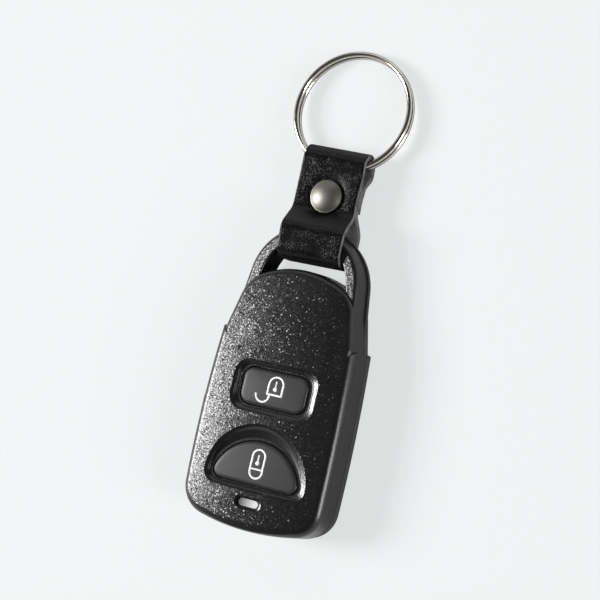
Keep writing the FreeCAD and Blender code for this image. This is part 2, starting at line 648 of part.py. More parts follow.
rear_cover = boolean("Cut", "rear_cover", rear_body, rear_cuts)

# Buttons and the rubber keypad mat


def front_button(label, outline, nib_y):
    """A rubber button: flange under the cover, crowned top and a nib over its switch."""
    body = new_body(label)
    pad(body, outline(body, "flange_width", MAT_BOTTOM), "flange_height")
    pad(body, outline(body, "0", MAT_BOTTOM), "button_top - %s" % MAT_BOTTOM)
    top = size.button_top
    round_edges(body, lambda point, edge: abs(point.z - top) < 1e-4, "button_edge")
    nib = Profile(body, "Nib", lift=NIB_END)
    circle = nib.circle(0, value(nib_y), size.nib_radius)
    nib.place(circle, 3, x="0", y=nib_y)
    nib.radius(circle, "nib_radius")
    pad(body, nib.sketch, "%s - %s" % (MAT_BOTTOM, NIB_END))
    return body


unlock_button = front_button("unlock_button", unlock_outline, "unlock_y")
lock_button = front_button("lock_button", lock_outline, "lock_switch_y")

mat_plate = new_body("mat_plate")
pad(mat_plate, rounded_rectangle(
    mat_plate, "0", "(mat_low_y + mat_high_y) / 2", MAT_HALF, "(mat_high_y - mat_low_y) / 2",
    "mat_corner", lift=MAT_BOTTOM), "mat_height")
mat_legs = [cylinder("mat_leg", "mat_leg_radius", "%s - %s + overlap" % (MAT_BOTTOM, BOARD_TOP), x, y,
                     BOARD_TOP)
            for x in (MAT_LEG, "-%s" % MAT_LEG) for y in ("mat_leg_low_y", "mat_leg_high_y")]
keypad_mat = boolean("Cut", "keypad_mat", fuse_all("mat_with_legs", [mat_plate] + mat_legs), [
    opening("mat_hole", outline, "flange_width + flange_gap", MAT_BOTTOM + " - overcut", "ceiling + overcut")
    for outline in (unlock_outline, lock_outline)])

PANIC_SEAT = "(belly_half - wall - panic_seat_gap)"
PANIC_BACK = "(%s - panic_flange)" % PANIC_SEAT
PANIC_NIB_END = "(%s - panic_nib)" % PANIC_BACK
SIDE_PLUNGER_END = "(%s - panic_travel + plunger_travel - press_slack)" % PANIC_NIB_END
SIDE_SWITCH_FACE = "(%s - plunger_stand)" % SIDE_PLUNGER_END
panic_face = side_pad("panic_face", "0", PANIC_SEAT, "belly_half + panic_stand")
panic_front = -value("belly_half + panic_stand")
round_edges(panic_face, lambda point, edge: point.x < panic_front + 1e-4, "panic_edge")
panic_flange = side_pad("panic_flange_plate", "panic_flange_width", PANIC_BACK, PANIC_SEAT)


def side_cylinder(label, radius, near, far, z="panic_z"):
    """A cylinder along X on the side button's axis, from x = -far to x = -near."""
    solid = cylinder(label, radius, "(%s) - (%s)" % (far, near), "-(%s)" % far, "panic_y", z)
    solid.Placement = Placement(solid.Placement.Base, Rotation(Vector(0, 1, 0), 90))
    return solid


panic_nib = side_cylinder("panic_nib_stem", "panic_nib_radius", PANIC_NIB_END, PANIC_BACK)
panic_button = fuse_all("panic_button", [panic_face, panic_flange, panic_nib])

# Lamp window and its light-emitting chip

led_window = fuse_all("led_window", [
    slot_pad("lamp_pipe", "lamp_half", "lamp_height / 2", "lamp_foot", "lamp_top"),
    slot_pad("lamp_rim", "lamp_half + lamp_flange", "lamp_height / 2 + lamp_flange",
             "ceiling - lamp_rim_height", "ceiling")])
indicator_led = block("indicator_led", "led_length", "led_width", "led_height", y="lamp_y", z=BOARD_TOP)

# Circuit board and what is soldered to it


def board_plate(label, outline):
    return outline_pad(label, outline, "board_inset", "board_rest", BOARD_TOP)


board_solid = fuse_all("board_solid", [
    board_plate("board_low", housing_outline), board_plate("board_high", arch_outline)])
board_hole = cylinder("board_hole", "boss_radius + board_hole_gap", "board_thickness + 2 * overcut",
                      y="screw_y", z="board_rest - overcut")
circuit_board = boolean("Cut", "circuit_board", board_solid, [board_hole])

PLUNGER_FOOT = "(%s - plunger_depth)" % SWITCH_TOP


def top_switch(label, y):
    """A push switch and the plunger that sticks out of its bore."""
    case = block(label + "_case_block", "switch_size", "switch_size", "switch_height", y=y, z=BOARD_TOP)
    bore = cylinder(label + "_bore", "plunger_radius + plunger_clearance",
                    "plunger_depth + plunger_travel + plunger_clearance + overcut", y=y,
                    z=PLUNGER_FOOT + " - plunger_travel - plunger_clearance")
    plunger = cylinder(label + "_plunger", "plunger_radius", "plunger_depth + plunger_stand", y=y,
                       z=PLUNGER_FOOT)
    return boolean("Cut", label + "_switch", case, bore), plunger


unlock_switch, unlock_plunger = top_switch("unlock", "unlock_y")
lock_switch, lock_plunger = top_switch("lock", "lock_switch_y")

side_case = block("side_case_block", "switch_size", "switch_size", "side_switch_height",
                  "-(%s - switch_size / 2)" % SIDE_SWITCH_FACE, "panic_y", BOARD_TOP)
side_bore = side_cylinder("side_bore", "side_plunger_radius + plunger_clearance",
                          "%s - plunger_depth - plunger_travel - plunger_clearance" % SIDE_SWITCH_FACE,
                          "%s + overcut" % SIDE_SWITCH_FACE)
panic_switch = boolean("Cut", "panic_switch", side_case, side_bore)
panic_plunger = side_cylinder("panic_plunger", "side_plunger_radius",
                              "%s - plunger_depth" % SIDE_SWITCH_FACE, SIDE_PLUNGER_END)


microcontroller = block("microcontroller", "chip_size", "chip_size", "chip_height", "chip_x", "chip_y",
                        BOARD_TOP)
radio_filter = block("radio_filter", "filter_size", "filter_size", "filter_height", "filter_x",
                     "filter_y", BOARD_TOP)
crystal = block("crystal", "crystal_length", "crystal_width", "crystal_height", "crystal_x",
                "crystal_y", BOARD_TOP)
antenna_coil = boolean("Cut", "antenna_coil", cylinder(
    "coil_body", "coil_radius", "coil_height", y="coil_y", z=BOARD_TOP), cylinder(
        "coil_core", "coil_radius - coil_wall", "coil_height + overcut", y="coil_y",
        z=BOARD_TOP + " + coil_floor"))


def passive_row(label, x):
    """Four small chips in a row along the board."""
    return fuse_all(label, [
        block(label + "_chip", "passive_width", "passive_length", "passive_height", x,
              "passive_y + %d * passive_step" % place, BOARD_TOP) for place in range(4)])


board_resistors = passive_row("board_resistors", "resistor_x")
board_capacitors = passive_row("board_capacitors", "capacitor_x")

# Coin cell and its two contacts, between the rear cover and the board

CELL_FOOT = "(rear_floor + cell_rib)"


def turned(label, points, x="0", y="0", z="0"):
    """A solid of revolution about a vertical axis. points are (radius, height) formulas."""
    body = new_body(label)
    p = Profile(body, "Section", "XZ_Plane")
    bind(p.sketch, AttachmentOffset__Base__x=x, AttachmentOffset__Base__y=z,
         AttachmentOffset__Base__z="-(%s)" % y)
    places = [(value(r), value(h)) for r, h in points]
    lines = [p.line(*here, *there) for here, there in zip(places, places[1:] + places[:1])]
    for first, second in zip(lines, lines[1:] + lines[:1]):
        p.join(first, second)
    for item, (r, h) in zip(lines, points):
        p.place(item, 1, x=r, y=h)
    feature = body.newObject("PartDesign::Revolution", "Turn")
    feature.Profile = p.sketch
    feature.ReferenceAxis = (p.sketch, ["V_Axis"])
    feature.Angle = 360
    doc.recompute()
    return body


coin_cell = turned("coin_cell", [
    ("0", "0"), ("cell_radius - cell_edge", "0"), ("cell_radius", "cell_edge"),
    ("cell_radius", "cell_can_height"), ("cell_radius - cell_edge", "cell_can_height + cell_step"),
    ("cell_cap_radius", "cell_can_height + cell_step"), ("cell_cap_radius - cell_edge", "cell_height"),
    ("0", "cell_height")], y="cell_y", z=CELL_FOOT)

CONTACT_SIDE = "cell_y + cell_radius + contact_clearance"
positive_foot = block("positive_foot", "contact_width", "contact_foot", "contact_thickness", "0",
                      CONTACT_SIDE + " + contact_foot / 2", "board_rest - contact_thickness")
positive_finger = block("positive_finger", "contact_width", "contact_thickness",
                        "board_rest - %s - contact_start" % CELL_FOOT, "0",
                        CONTACT_SIDE + " + contact_thickness / 2", CELL_FOOT + " + contact_start")
positive_contact = fuse_all("positive_contact", [positive_foot, positive_finger])
negative_foot = block("negative_foot", "negative_width", "negative_length", "contact_thickness", "0",
                      "cell_y", "board_rest - contact_thickness")
negative_nub = doc.addObject("Part::Cone", "negative_nub")
NUB_TIP = "(%s + cell_height + nub_clearance)" % CELL_FOOT
bind(negative_nub, Radius1="nub_radius", Radius2="nub_root_radius",
     Height="board_rest - contact_thickness / 2 - " + NUB_TIP, Placement__Base__y="cell_y",
     Placement__Base__z=NUB_TIP)
negative_contact = fuse_all("negative_contact", [negative_foot, negative_nub])

cover_screw = turned("cover_screw", [
    ("0", "0"), ("screw_head_radius", "0"), ("screw_head_radius", "screw_head_height"),
    ("screw_radius", "screw_head_height"), ("screw_radius", "screw_length - screw_recess"),
    ("0", "screw_length - screw_recess + screw_tip")], y="screw_y", z="screw_recess")

# Leather strap: one strip folded round the loop and the ring, its ends overlapping at the rivet


def rounded_path(points, radii):
    """Lines and tangent arcs through the points; radii belong to the inner points."""
    edges, here = [], points[0]
    for before, corner, after, radius in zip(points, points[1:], points[2:], radii):
        ahead, behind = (after - corner).normalize(), (before - corner).normalize()
        opening = behind.getAngle(ahead)
        reach = radius / math.tan(opening / 2)
        start, end = corner + behind * reach, corner + ahead * reach
        middle = corner + (behind + ahead).normalize() * (radius / math.sin(opening / 2) - radius)
        if here.distanceToPoint(start) > 1e-6:
            edges.append(Part.LineSegment(here, start).toShape())
        edges.append(Part.Arc(start, middle, end).toShape())
        here = end
    edges.append(Part.LineSegment(here, points[-1]).toShape())
    return edges


def strip_side(points, radii, offset):
    """The same path moved sideways in the YZ plane, with its arcs grown or shrunk to match."""
    normals = []
    for here, there in zip(points, points[1:]):
        run = (there - here).normalize()
        normals.append(Vector(0, -run.z, run.y))
    moved = [points[0] + normals[0] * offset]
    for corner, first, second in zip(points[1:], normals, normals[1:]):
        moved.append(corner + (first + second) * (offset / (1 + first.dot(second))))
    moved.append(points[-1] + normals[-1] * offset)
    turns = [first.cross(second).x for first, second in zip(normals, normals[1:])]
    changed = [r - math.copysign(1, turn) * offset for r, turn in zip(radii, turns)]
    return moved, changed


half_leather = size.strap_thickness / 2
layer = size.strap_thickness + size.strap_layer_gap
fold_radius = size.ring_fold_bore / 2 + half_leather
ring_back = half_leather
ring_front = ring_back + 2 * fold_radius
ring_turn_y = size.ring_fold_y - half_leather
bar_front = size.loop_front + size.strap_bar_clearance + half_leather
bar_back = size.loop_rear - size.strap_bar_clearance - half_leather
bar_turn_y = size.strap_fold_y + half_leather
loop_head_y = size.loop_centre_y + size.loop_radius
lower_end = ring_front - 2 * layer
upper_end = ring_front - layer
STRAP_ROUTE = [
    (size.rivet_y - size.strap_lower_end, lower_end, None),
    (size.rivet_y + size.strap_lower_run, lower_end, size.strap_bend),
    (size.rivet_y + size.strap_back_run, ring_back, size.strap_bend),
    (ring_turn_y, ring_back, fold_radius),
    (ring_turn_y, ring_front, fold_radius),
    (size.rivet_y - size.strap_front_run, ring_front, size.strap_front_bend),
    (loop_head_y - size.strap_front_drop, bar_front, size.strap_bend),
    (bar_turn_y, bar_front, size.strap_fold_bend),
    (bar_turn_y, bar_back, size.strap_fold_bend),
    (loop_head_y + size.loop_flare - size.strap_rear_drop, bar_back, size.strap_bend),
    (size.rivet_y - size.strap_rear_run, upper_end, size.strap_bend),
    (size.rivet_y + size.strap_upper_end, upper_end, None)]
left_x = -size.strap_width / 2
route = [Vector(left_x, y, z) for y, z, radius in STRAP_ROUTE]
bends = [radius for y, z, radius in STRAP_ROUTE[1:-1]]
inner = rounded_path(*strip_side(route, bends, half_leather))
outer = rounded_path(*strip_side(route, bends, -half_leather))


def strip_end(first, second):
    return Part.LineSegment(first, second).toShape()


caps = [strip_end(inner[0].Vertexes[0].Point, outer[0].Vertexes[0].Point),
        strip_end(inner[-1].Vertexes[-1].Point, outer[-1].Vertexes[-1].Point)]
outline = Part.Wire(Part.__sortEdges__(inner + outer + caps))
leather = Part.Face(outline).extrude(Vector(size.strap_width, 0, 0))
rivet_hole = Part.makeCylinder(size.rivet_shank + size.rivet_clearance, size.crest_height,
                               Vector(0, size.rivet_y, 0), Vector(0, 0, 1))
strap = doc.addObject("Part::Feature", "strap")
strap.Label = "strap"
strap.Shape = leather.cut(rivet_hole)
strap_length = sum(edge.Length for edge in rounded_path(route, bends))
print("strap: cut length %.1f mm, width %.1f mm" % (strap_length, size.strap_width))

# Rivet: domed cap with its shank, and a flat cap behind

RIVET_SEAT = "(2 * strap_thickness + ring_fold_bore)"
RIVET_BACK = "(%s - 3 * strap_thickness - 2 * strap_layer_gap)" % RIVET_SEAT
RIVET_TIP = "(%s - rivet_base_height + rivet_floor)" % RIVET_BACK


def rivet_cap_body():
    body = new_body("rivet_cap")
    p = Profile(body, "Section", "XZ_Plane")
    bind(p.sketch, AttachmentOffset__Base__z="-rivet_y")
    rise, radius = size.rivet_rise - size.rivet_brim, size.rivet_radius
    seat, foot = value(RIVET_SEAT), value(RIVET_TIP)
    dome_r = (radius ** 2 + rise ** 2) / (2 * rise)
    top = seat + size.rivet_rise
    start = math.asin((dome_r - rise) / dome_r)
    crown = p.arc(0, top - dome_r, dome_r, start, math.pi / 2)
    axis = p.line(0, top, 0, foot)
    tip = p.line(0, foot, size.rivet_shank, foot)
    shank = p.line(size.rivet_shank, foot, size.rivet_shank, seat)
    under = p.line(size.rivet_shank, seat, radius, seat)
    brim = p.line(radius, seat, radius, seat + size.rivet_brim)
    order = [crown, axis, tip, shank, under, brim]
    for first, second in zip(order, order[1:] + order[:1]):
        p.join(first, second)
    p.place(crown, 3, x="0")
    p.place(axis, 1, x="0", y=RIVET_SEAT + " + rivet_rise")
    p.place(tip, 1, x="0", y=RIVET_TIP)
    p.place(shank, 1, x="rivet_shank", y=RIVET_TIP)
    p.place(under, 1, x="rivet_shank", y=RIVET_SEAT)
    p.place(brim, 1, x="rivet_radius", y=RIVET_SEAT)
    p.place(brim, 2, x="rivet_radius", y=RIVET_SEAT + " + rivet_brim")
    feature = body.newObject("PartDesign::Revolution", "Turn")
    feature.Profile = p.sketch
    feature.ReferenceAxis = (p.sketch, ["V_Axis"])
    feature.Angle = 360
    doc.recompute()
    return body


rivet_cap = rivet_cap_body()
BASE_FOOT = "(%s - rivet_base_height)" % RIVET_BACK
rivet_base = turned("rivet_base", [
    ("0", BASE_FOOT), ("rivet_base_radius - rivet_edge", BASE_FOOT),
    ("rivet_base_radius", BASE_FOOT + " + rivet_edge"), ("rivet_base_radius", RIVET_BACK),
    ("rivet_shank + rivet_clearance", RIVET_BACK), ("rivet_shank + rivet_clearance", RIVET_TIP),
    ("0", RIVET_TIP)], y="rivet_y")

# Split ring: two turns of one wire that steps up to the second turn in a short jog


def arc_through(start, tangent, end):
    """The arc that leaves start along tangent and passes through end."""
    chord = end - start
    along = Vector(chord).normalize()
    side = tangent - along * tangent.dot(along)
    if side.Length < 1e-9:
        return Part.LineSegment(start, end).toShape()
    bulge = math.tan(tangent.getAngle(chord) / 2) * chord.Length / 2
    return Part.Arc(start, start + chord * 0.5 + side.normalize() * bulge, end).toShape()


def biarc(start, start_run, end, end_run):
    """Two tangent arcs between two points with given directions."""
    gap, runs = end - start, start_run + end_run
    spread = 2 * (1 - start_run.dot(end_run))
    reach = (math.sqrt(gap.dot(runs) ** 2 + spread * gap.dot(gap)) - gap.dot(runs)) / spread
    knot = (start + start_run * reach + end - end_run * reach) * 0.5
    return [arc_through(start, start_run, knot), arc_through(end, end_run * -1, knot)]


wire_radius = size.ring_radius - size.ring_wire / 2
fold_y = size.ring_fold_y - size.strap_thickness - size.ring_fold_bore / 2
fold_z = size.strap_thickness + size.ring_fold_bore / 2
strap_half = size.strap_width / 2
ring_y = fold_y + (wire_radius + math.sqrt(wire_radius ** 2 - strap_half ** 2)) / 2
jog = math.radians(size.ring_jog_angle)
JOG_START = math.radians(size.ring_jog_start)


def ring_height(turned_by):
    """Height of the wire's axis over the first turn, where the jog starts at one full turn."""
    share = min(max((turned_by - 2 * math.pi) / jog, 0), 1)
    return size.ring_pitch * share * share * (3 - 2 * share)


def ring_point(turned_by):
    angle = JOG_START + turned_by
    return Vector(wire_radius * math.cos(angle), ring_y + wire_radius * math.sin(angle),
                  fold_z - size.ring_pitch / 2 + ring_height(turned_by))


def ring_run(turned_by):
    step = 1e-5
    return (ring_point(turned_by + step) - ring_point(turned_by - step)).normalize()


def ring_stations():
    """Where the wire's arcs meet: even steps in the turns, short ones in the jog."""
    first = [jog + (2 * math.pi - jog) * k / 4 for k in range(4)]
    rise = [2 * math.pi + jog * k / 3 for k in range(3)]
    second = [2 * math.pi + jog + (2 * math.pi - jog) * k / 4 for k in range(5)]
    return first + rise + second


stations = ring_stations()
ring_edges = []
for here, there in zip(stations, stations[1:]):
    for edge in biarc(ring_point(here), ring_run(here), ring_point(there), ring_run(there)):
        ring_edges.append(edge)
ring_path = Part.Wire(Part.__sortEdges__(ring_edges))
wire_start = Part.Circle(ring_point(stations[0]), ring_run(stations[0]), size.ring_wire / 2)
ring_solid = ring_path.makePipeShell([Part.Wire(wire_start.toShape())], True, False)
probe = [ring_point(stations[0] + (stations[-1] - stations[0]) * k / 600) for k in range(601)]
per_turn = int(600 * math.pi / (stations[-1] - stations[0]))
least = min(a.distanceToPoint(b) for i, a in enumerate(probe) for b in probe[i + per_turn:])
print("split ring: wire %.0f mm long, least gap between turns %.2f mm" % (
    ring_path.Length, least - size.ring_wire))
expected = math.pi * size.ring_wire ** 2 / 4 * ring_path.Length
print("split ring: volume %.1f of %.1f mm3" % (ring_solid.Volume, expected))
far_reach = ring_y + wire_radius - fold_y
low_turn = fold_z - size.ring_pitch / 2 - size.ring_wire / 2
ring_lean = math.degrees(math.asin((low_turn - size.table_clearance) / far_reach))
split_ring = doc.addObject("Part::Feature", "split_ring")
split_ring.Label = "split_ring"
split_ring.Shape = ring_solid
split_ring.Placement = Placement(Vector(), Rotation(Vector(1, 0, 0), -ring_lean), Vector(0, fold_y, fold_z))
print("ring: hinge at y %.2f z %.2f, lean %.2f deg" % (fold_y, fold_z, ring_lean))

# Every finished piece, under the name of its file

PIECES = [
    front_cover, rear_cover, cover_screw, keypad_mat, unlock_button, lock_button, panic_button,
    led_window, indicator_led, circuit_board, unlock_switch, unlock_plunger, lock_switch, lock_plunger,
    panic_switch, panic_plunger, microcontroller, radio_filter, crystal, antenna_coil, board_resistors,
    board_capacitors, coin_cell, positive_contact, negative_contact, strap, rivet_cap, rivet_base,
    split_ring]
doc.recompute()
faults = [obj.Label for obj in doc.Objects if "Invalid" in obj.State or "Error" in obj.State]
faults += [piece.Label for piece in PIECES if piece.Shape.isNull() or not piece.Shape.isValid()]
if faults:
    raise RuntimeError("these did not build: " + ", ".join(faults))
os.makedirs("parts", exist_ok=True)
for piece in PIECES:
    piece.Shape.exportStep("parts/%s.step" % piece.Label)
    box = piece.Shape.BoundBox
    print("%-18s %d solid %9.2f mm3  x %.2f..%.2f y %.2f..%.2f z %.2f..%.2f" % (
        piece.Label, len(piece.Shape.Solids), piece.Shape.Volume, box.XMin, box.XMax, box.YMin,
        box.YMax, box.ZMin, box.ZMax))
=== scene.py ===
# %% [markdown]
# # A car key remote on a leather strap
# The packed CAD model brings every hard part at its real size. This file gives those parts
# their finishes, swaps the plain leather and a few small parts for finer meshes, and sets up
# the table, the lamps and the camera. Shaders count in metres. Meshes are written in
# millimetres and scaled by `MM`.

# %% Load the frame
import math
import bmesh
import bpy
from mathutils import Matrix, Vector
from mathutils.bvhtree import BVHTree


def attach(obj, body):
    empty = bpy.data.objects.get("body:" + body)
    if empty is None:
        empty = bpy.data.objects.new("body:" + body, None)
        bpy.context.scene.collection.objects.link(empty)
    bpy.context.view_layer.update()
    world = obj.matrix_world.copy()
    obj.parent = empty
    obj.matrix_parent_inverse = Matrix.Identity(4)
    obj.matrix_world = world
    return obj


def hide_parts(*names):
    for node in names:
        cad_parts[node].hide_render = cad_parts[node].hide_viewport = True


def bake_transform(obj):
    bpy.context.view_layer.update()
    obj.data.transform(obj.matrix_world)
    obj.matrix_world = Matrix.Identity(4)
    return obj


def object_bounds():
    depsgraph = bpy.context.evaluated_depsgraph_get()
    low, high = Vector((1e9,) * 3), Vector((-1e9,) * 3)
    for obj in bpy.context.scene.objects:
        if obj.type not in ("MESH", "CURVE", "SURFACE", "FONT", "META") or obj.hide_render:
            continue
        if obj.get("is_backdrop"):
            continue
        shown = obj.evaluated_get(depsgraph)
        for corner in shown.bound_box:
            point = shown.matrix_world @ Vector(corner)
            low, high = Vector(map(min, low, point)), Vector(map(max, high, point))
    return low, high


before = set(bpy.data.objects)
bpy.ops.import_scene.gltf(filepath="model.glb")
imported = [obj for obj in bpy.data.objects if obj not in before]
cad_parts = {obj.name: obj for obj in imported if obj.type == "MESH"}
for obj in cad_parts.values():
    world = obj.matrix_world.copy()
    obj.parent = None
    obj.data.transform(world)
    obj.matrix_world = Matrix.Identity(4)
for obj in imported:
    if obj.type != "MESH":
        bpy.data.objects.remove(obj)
cad_low, cad_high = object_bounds()
MM = 0.001
print("CAD box in mm:", [round(v / MM, 2) for v in (*cad_low, *cad_high)])

# %% [markdown]
# ## Shader maths as Python expressions
# A pattern is a calculation on numbers, and Blender does it with Math nodes. Adding them one
# by one hides the sum that they make. So a small class wraps a socket: `1 - mask * 0.5` then
# adds the nodes by itself, and the line reads like the sum.


# %% A socket that can be calculated with
def plug(tree, place, value):
    """Links a signal to an input, or writes a plain value there; colours gain their alpha."""
    if isinstance(value, Signal):
        tree.links.new(value.socket, place)
    elif place.type == "RGBA":
        place.default_value = (*value, 1.0)
    else:
        place.default_value = value


def maths(tree, operation, *values, clamp=False):
    """One Math node on numbers or signals."""
    node = tree.nodes.new("ShaderNodeMath")
    node.operation, node.use_clamp = operation, clamp
    for place, value in zip(node.inputs, values):
        plug(tree, place, value)
    return Signal(tree, node.outputs[0])


def operator(operation, swapped=False):
    """A method that adds one Math node; swapped puts the signal itself last."""
    def method(self, *others):
        values = (*others, self) if swapped else (self, *others)
        return maths(self.tree, operation, *values)
    return method


class Signal:
    """One output of a node tree; Python's operators on it add Math nodes."""

    __add__, __radd__ = operator("ADD"), operator("ADD", swapped=True)
    __sub__, __rsub__ = operator("SUBTRACT"), operator("SUBTRACT", swapped=True)
    __mul__, __rmul__ = operator("MULTIPLY"), operator("MULTIPLY", swapped=True)
    __truediv__, __pow__, __abs__ = operator("DIVIDE"), operator("POWER"), operator("ABSOLUTE")
    larger, smaller = operator("MAXIMUM"), operator("MINIMUM")
    root, cosine, sine = operator("SQRT"), operator("COSINE"), operator("SINE")

    def __init__(self, tree, socket):
        self.tree, self.socket = tree, socket

    def cut(self):
        """The same value, kept between 0 and 1."""
        return maths(self.tree, "ADD", self, 0.0, clamp=True)

    def above(self, edge, width):
        """0 below the edge and 1 above it, with a soft step of the given width."""
        return ((self - edge) / width + 0.5).cut()

    def below(self, edge, width):
        return 1 - self.above(edge, width)


def eased(share):
    """A share from 0 to 1 that starts and ends gently; takes a number or a signal."""
    return share * share * (3 - 2 * share)


print("eased:", [round(eased(k / 4), 2) for k in range(5)])

# %% [markdown]
# ## A material as a small workshop
# Every finish below starts in the same way: a Principled shader, Object coordinates, and a few
# textures. `Finish` keeps those together. Its one `node` method takes the kind of node, the
# settings to make first, and then the values or links of its inputs. A plain colour or
# roughness stays in its input when a pattern is linked over it.


# %% The workshop for materials
class Finish:
    """A material in the making, with the coordinates that its patterns read."""

    def __init__(self, name, colour, roughness, **fixed):
        self.material = bpy.data.materials.new(name)
        self.material.use_nodes = True
        self.tree = self.material.node_tree
        self.shader = self.tree.nodes["Principled BSDF"]
        self.set("Base Color", colour)
        self.set("Roughness", roughness)
        for place, value in fixed.items():
            self.set(place.replace("_", " "), value)
        coordinates = self.node("ShaderNodeTexCoord").outputs
        self.point = Signal(self.tree, coordinates["Object"])
        self.facing = Signal(self.tree, coordinates["Normal"])
        self.x, self.y, self.z = self.axes(self.point)

    def set(self, name, value):
        plug(self.tree, self.shader.inputs[name], value)

    def node(self, kind, settings=None, inputs=None):
        made = self.tree.nodes.new(kind)
        for name, value in (settings or {}).items():
            setattr(made, name, value)
        for name, value in (inputs or {}).items():
            plug(self.tree, made.inputs[name], value)
        return made

    def out(self, kind, output, settings=None, inputs=None):
        """One output of a new node, ready for sums."""
        return Signal(self.tree, self.node(kind, settings, inputs).outputs[output])

    def vector(self, operation, *values):
        """One Vector Math node on points, directions or signals."""
        return self.out("ShaderNodeVectorMath", "Vector", {"operation": operation},
                        dict(enumerate(values)))

    def axes(self, vector):
        split = self.node("ShaderNodeSeparateXYZ", inputs={"Vector": vector})
        return [Signal(self.tree, output) for output in split.outputs]

    def noise(self, size, detail=2.0, roughness=0.5, stretch=None, output="Fac"):
        """Noise with blobs of about the given size in metres, from 0 to 1."""
        point = self.vector("MULTIPLY", self.point, stretch) if stretch else self.point
        return self.out("ShaderNodeTexNoise", output, inputs={
            "Vector": point, "Scale": 1 / size, "Detail": detail, "Roughness": roughness})

    def cells(self, size, output, point):
        """Voronoi cells of about the given size in metres."""
        return self.out("ShaderNodeTexVoronoi", output, inputs={"Vector": point, "Scale": 1 / size})

    def mix(self, amount, first, second):
        """A colour between two colours; amount 0 gives the first one."""
        made = self.node("ShaderNodeMix", {"data_type": "RGBA"}, {0: amount, 6: first, 7: second})
        return Signal(self.tree, made.outputs[2])

    def edge_on(self, middle=0.48, width=0.40):
        """0 where the surface is seen from above, 1 where it is seen nearly edge on."""
        return self.out("ShaderNodeLayerWeight", "Facing").above(middle, width)

    def bump(self, height, depth, normal=None):
        """Relief of the given depth in metres from a height between 0 and 1."""
        inputs = {"Height": height, "Distance": depth}
        if normal is not None:
            inputs["Normal"] = normal
        relief = self.out("ShaderNodeBump", "Normal", inputs=inputs)
        self.set("Normal", relief)
        return relief


print("tools of a finish:", ", ".join(name for name in vars(Finish) if name[0] != "_"))

# %% [markdown]
# ## The moulded shells
# The face of the housing is black plastic with fine silvery flecks. Seen from close by, each
# fleck is a tiny facet that leans its own way, so a few of them catch the lamp and the rest
# stay dark. Voronoi cells do just that: each cell gets one random colour, and that colour tips
# the normal. The flanks and the walls of the button wells come off smoother tool steel, so
# masks keep the flecks to the face and to the front of the loop. The masks know the wells by
# their outlines, as distances in metres from a rounded box and from a half moon. Seen nearly
# edge on, grain hides its own shine, so the roughness rises there.

# %% Distances from the openings in the face
LENS_SLOT = (0, -0.0159), (0.00295, 0.0011), 0.0009  # centre, half size, corner
UNLOCK_WELL = (0, 0.0097), (0.0100, 0.0055), 0.0032
LOCK_WELL = -0.0108, 0.0122, -0.0131, 0.0026  # y and radius of the arc, y of the base, corner


def joined_sides(first, second):
    """Distance from a corner between two sides, from the distances to each of them."""
    outside = (first.larger(0.0) ** 2 + second.larger(0.0) ** 2).root()
    return outside + first.larger(second).smaller(0.0)


def off_box(finish, centre, half, corner):
    """Distance from a rounded box's outline, seen from above; inside it is below 0."""
    far_x = abs(finish.x - centre[0]) - (half[0] - corner)
    far_y = abs(finish.y - centre[1]) - (half[1] - corner)
    return joined_sides(far_x, far_y) - corner


def off_half_moon(finish, arc_y, radius, base_y, corner):
    """The same for a round top on a straight base."""
    round_side = (finish.x ** 2 + (finish.y - arc_y) ** 2).root() - radius + corner
    return joined_sides(round_side, base_y + corner - finish.y) - corner


# %% Flecked black plastic
PARTING_Z = 0.0038
FACE_FROM_Z, LOOP_TO_Z, WALL_FROM_Z = 0.0094, 0.0100, 0.01132
FLECK_SIZE, FLECK_SLOPE = 0.00022, 0.052
RIM_REACH, RIM_WIDTH = 0.0009, 0.00125


def tipped_normal(finish, slope, aside, lift):
    """The surface's normal with each small facet leaning its own way; few lean far."""
    luck, way = finish.axes(finish.cells(FLECK_SIZE, "Color", finish.point))[:2]
    luck = luck * 0.96  # the longest lean stays finite
    way = way * (2 * math.pi)
    reach = (luck / (1 - luck)).root() * slope
    lean = finish.out("ShaderNodeCombineXYZ", "Vector", inputs={
        0: way.cosine() * reach + aside, 1: way.sine() * reach, 2: lift})
    surface = finish.out("ShaderNodeNewGeometry", "Normal")
    return finish.vector("NORMALIZE", finish.vector("ADD", surface, lean))


def flecked_face(finish, groove, fine, cloud):
    """Flecks on the face, smooth walls turned to the sky, and soft rims round the openings."""
    up = finish.axes(finish.facing)[2]
    slot = off_box(finish, *LENS_SLOT)
    well = off_box(finish, *UNLOCK_WELL).smaller(off_half_moon(finish, *LOCK_WELL))
    face = (finish.z.above(FACE_FROM_Z, 0.0001) * up.above(0.93, 0.08)
            * slot.above(0.0, 0.0001))
    loop = finish.z.below(LOOP_TO_Z, 0.0002) * face
    wall = finish.z.above(WALL_FROM_Z, 0.00006) * up.below(0.88, 0.08)
    streak = finish.noise(0.00022, stretch=(0.12, 0.12, 1.0))
    sideways = (1 - up * up).larger(0.0).root()
    calm = well.above(0.00025, 0.0003) * 0.65 + 0.35  # fewer flecks beside the wells
    # On the loop all flecks lean to the left as well, and the walls turn up in streaks.
    normal = tipped_normal(finish, face * calm * FLECK_SLOPE, loop * -0.12,
                           wall * (sideways * (2.0 + 2.4 * streak) - up))
    rim = ((well.smaller(slot) + RIM_REACH) / RIM_WIDTH).cut()
    finish.bump(rim * 0.45 + fine * 0.008 - groove * 0.12, 0.001, normal)
    finish.set("Roughness", 0.30 + 0.05 * cloud - face * 0.05 - wall * 0.02
               + face * finish.edge_on() * 0.55 + 0.4 * groove)


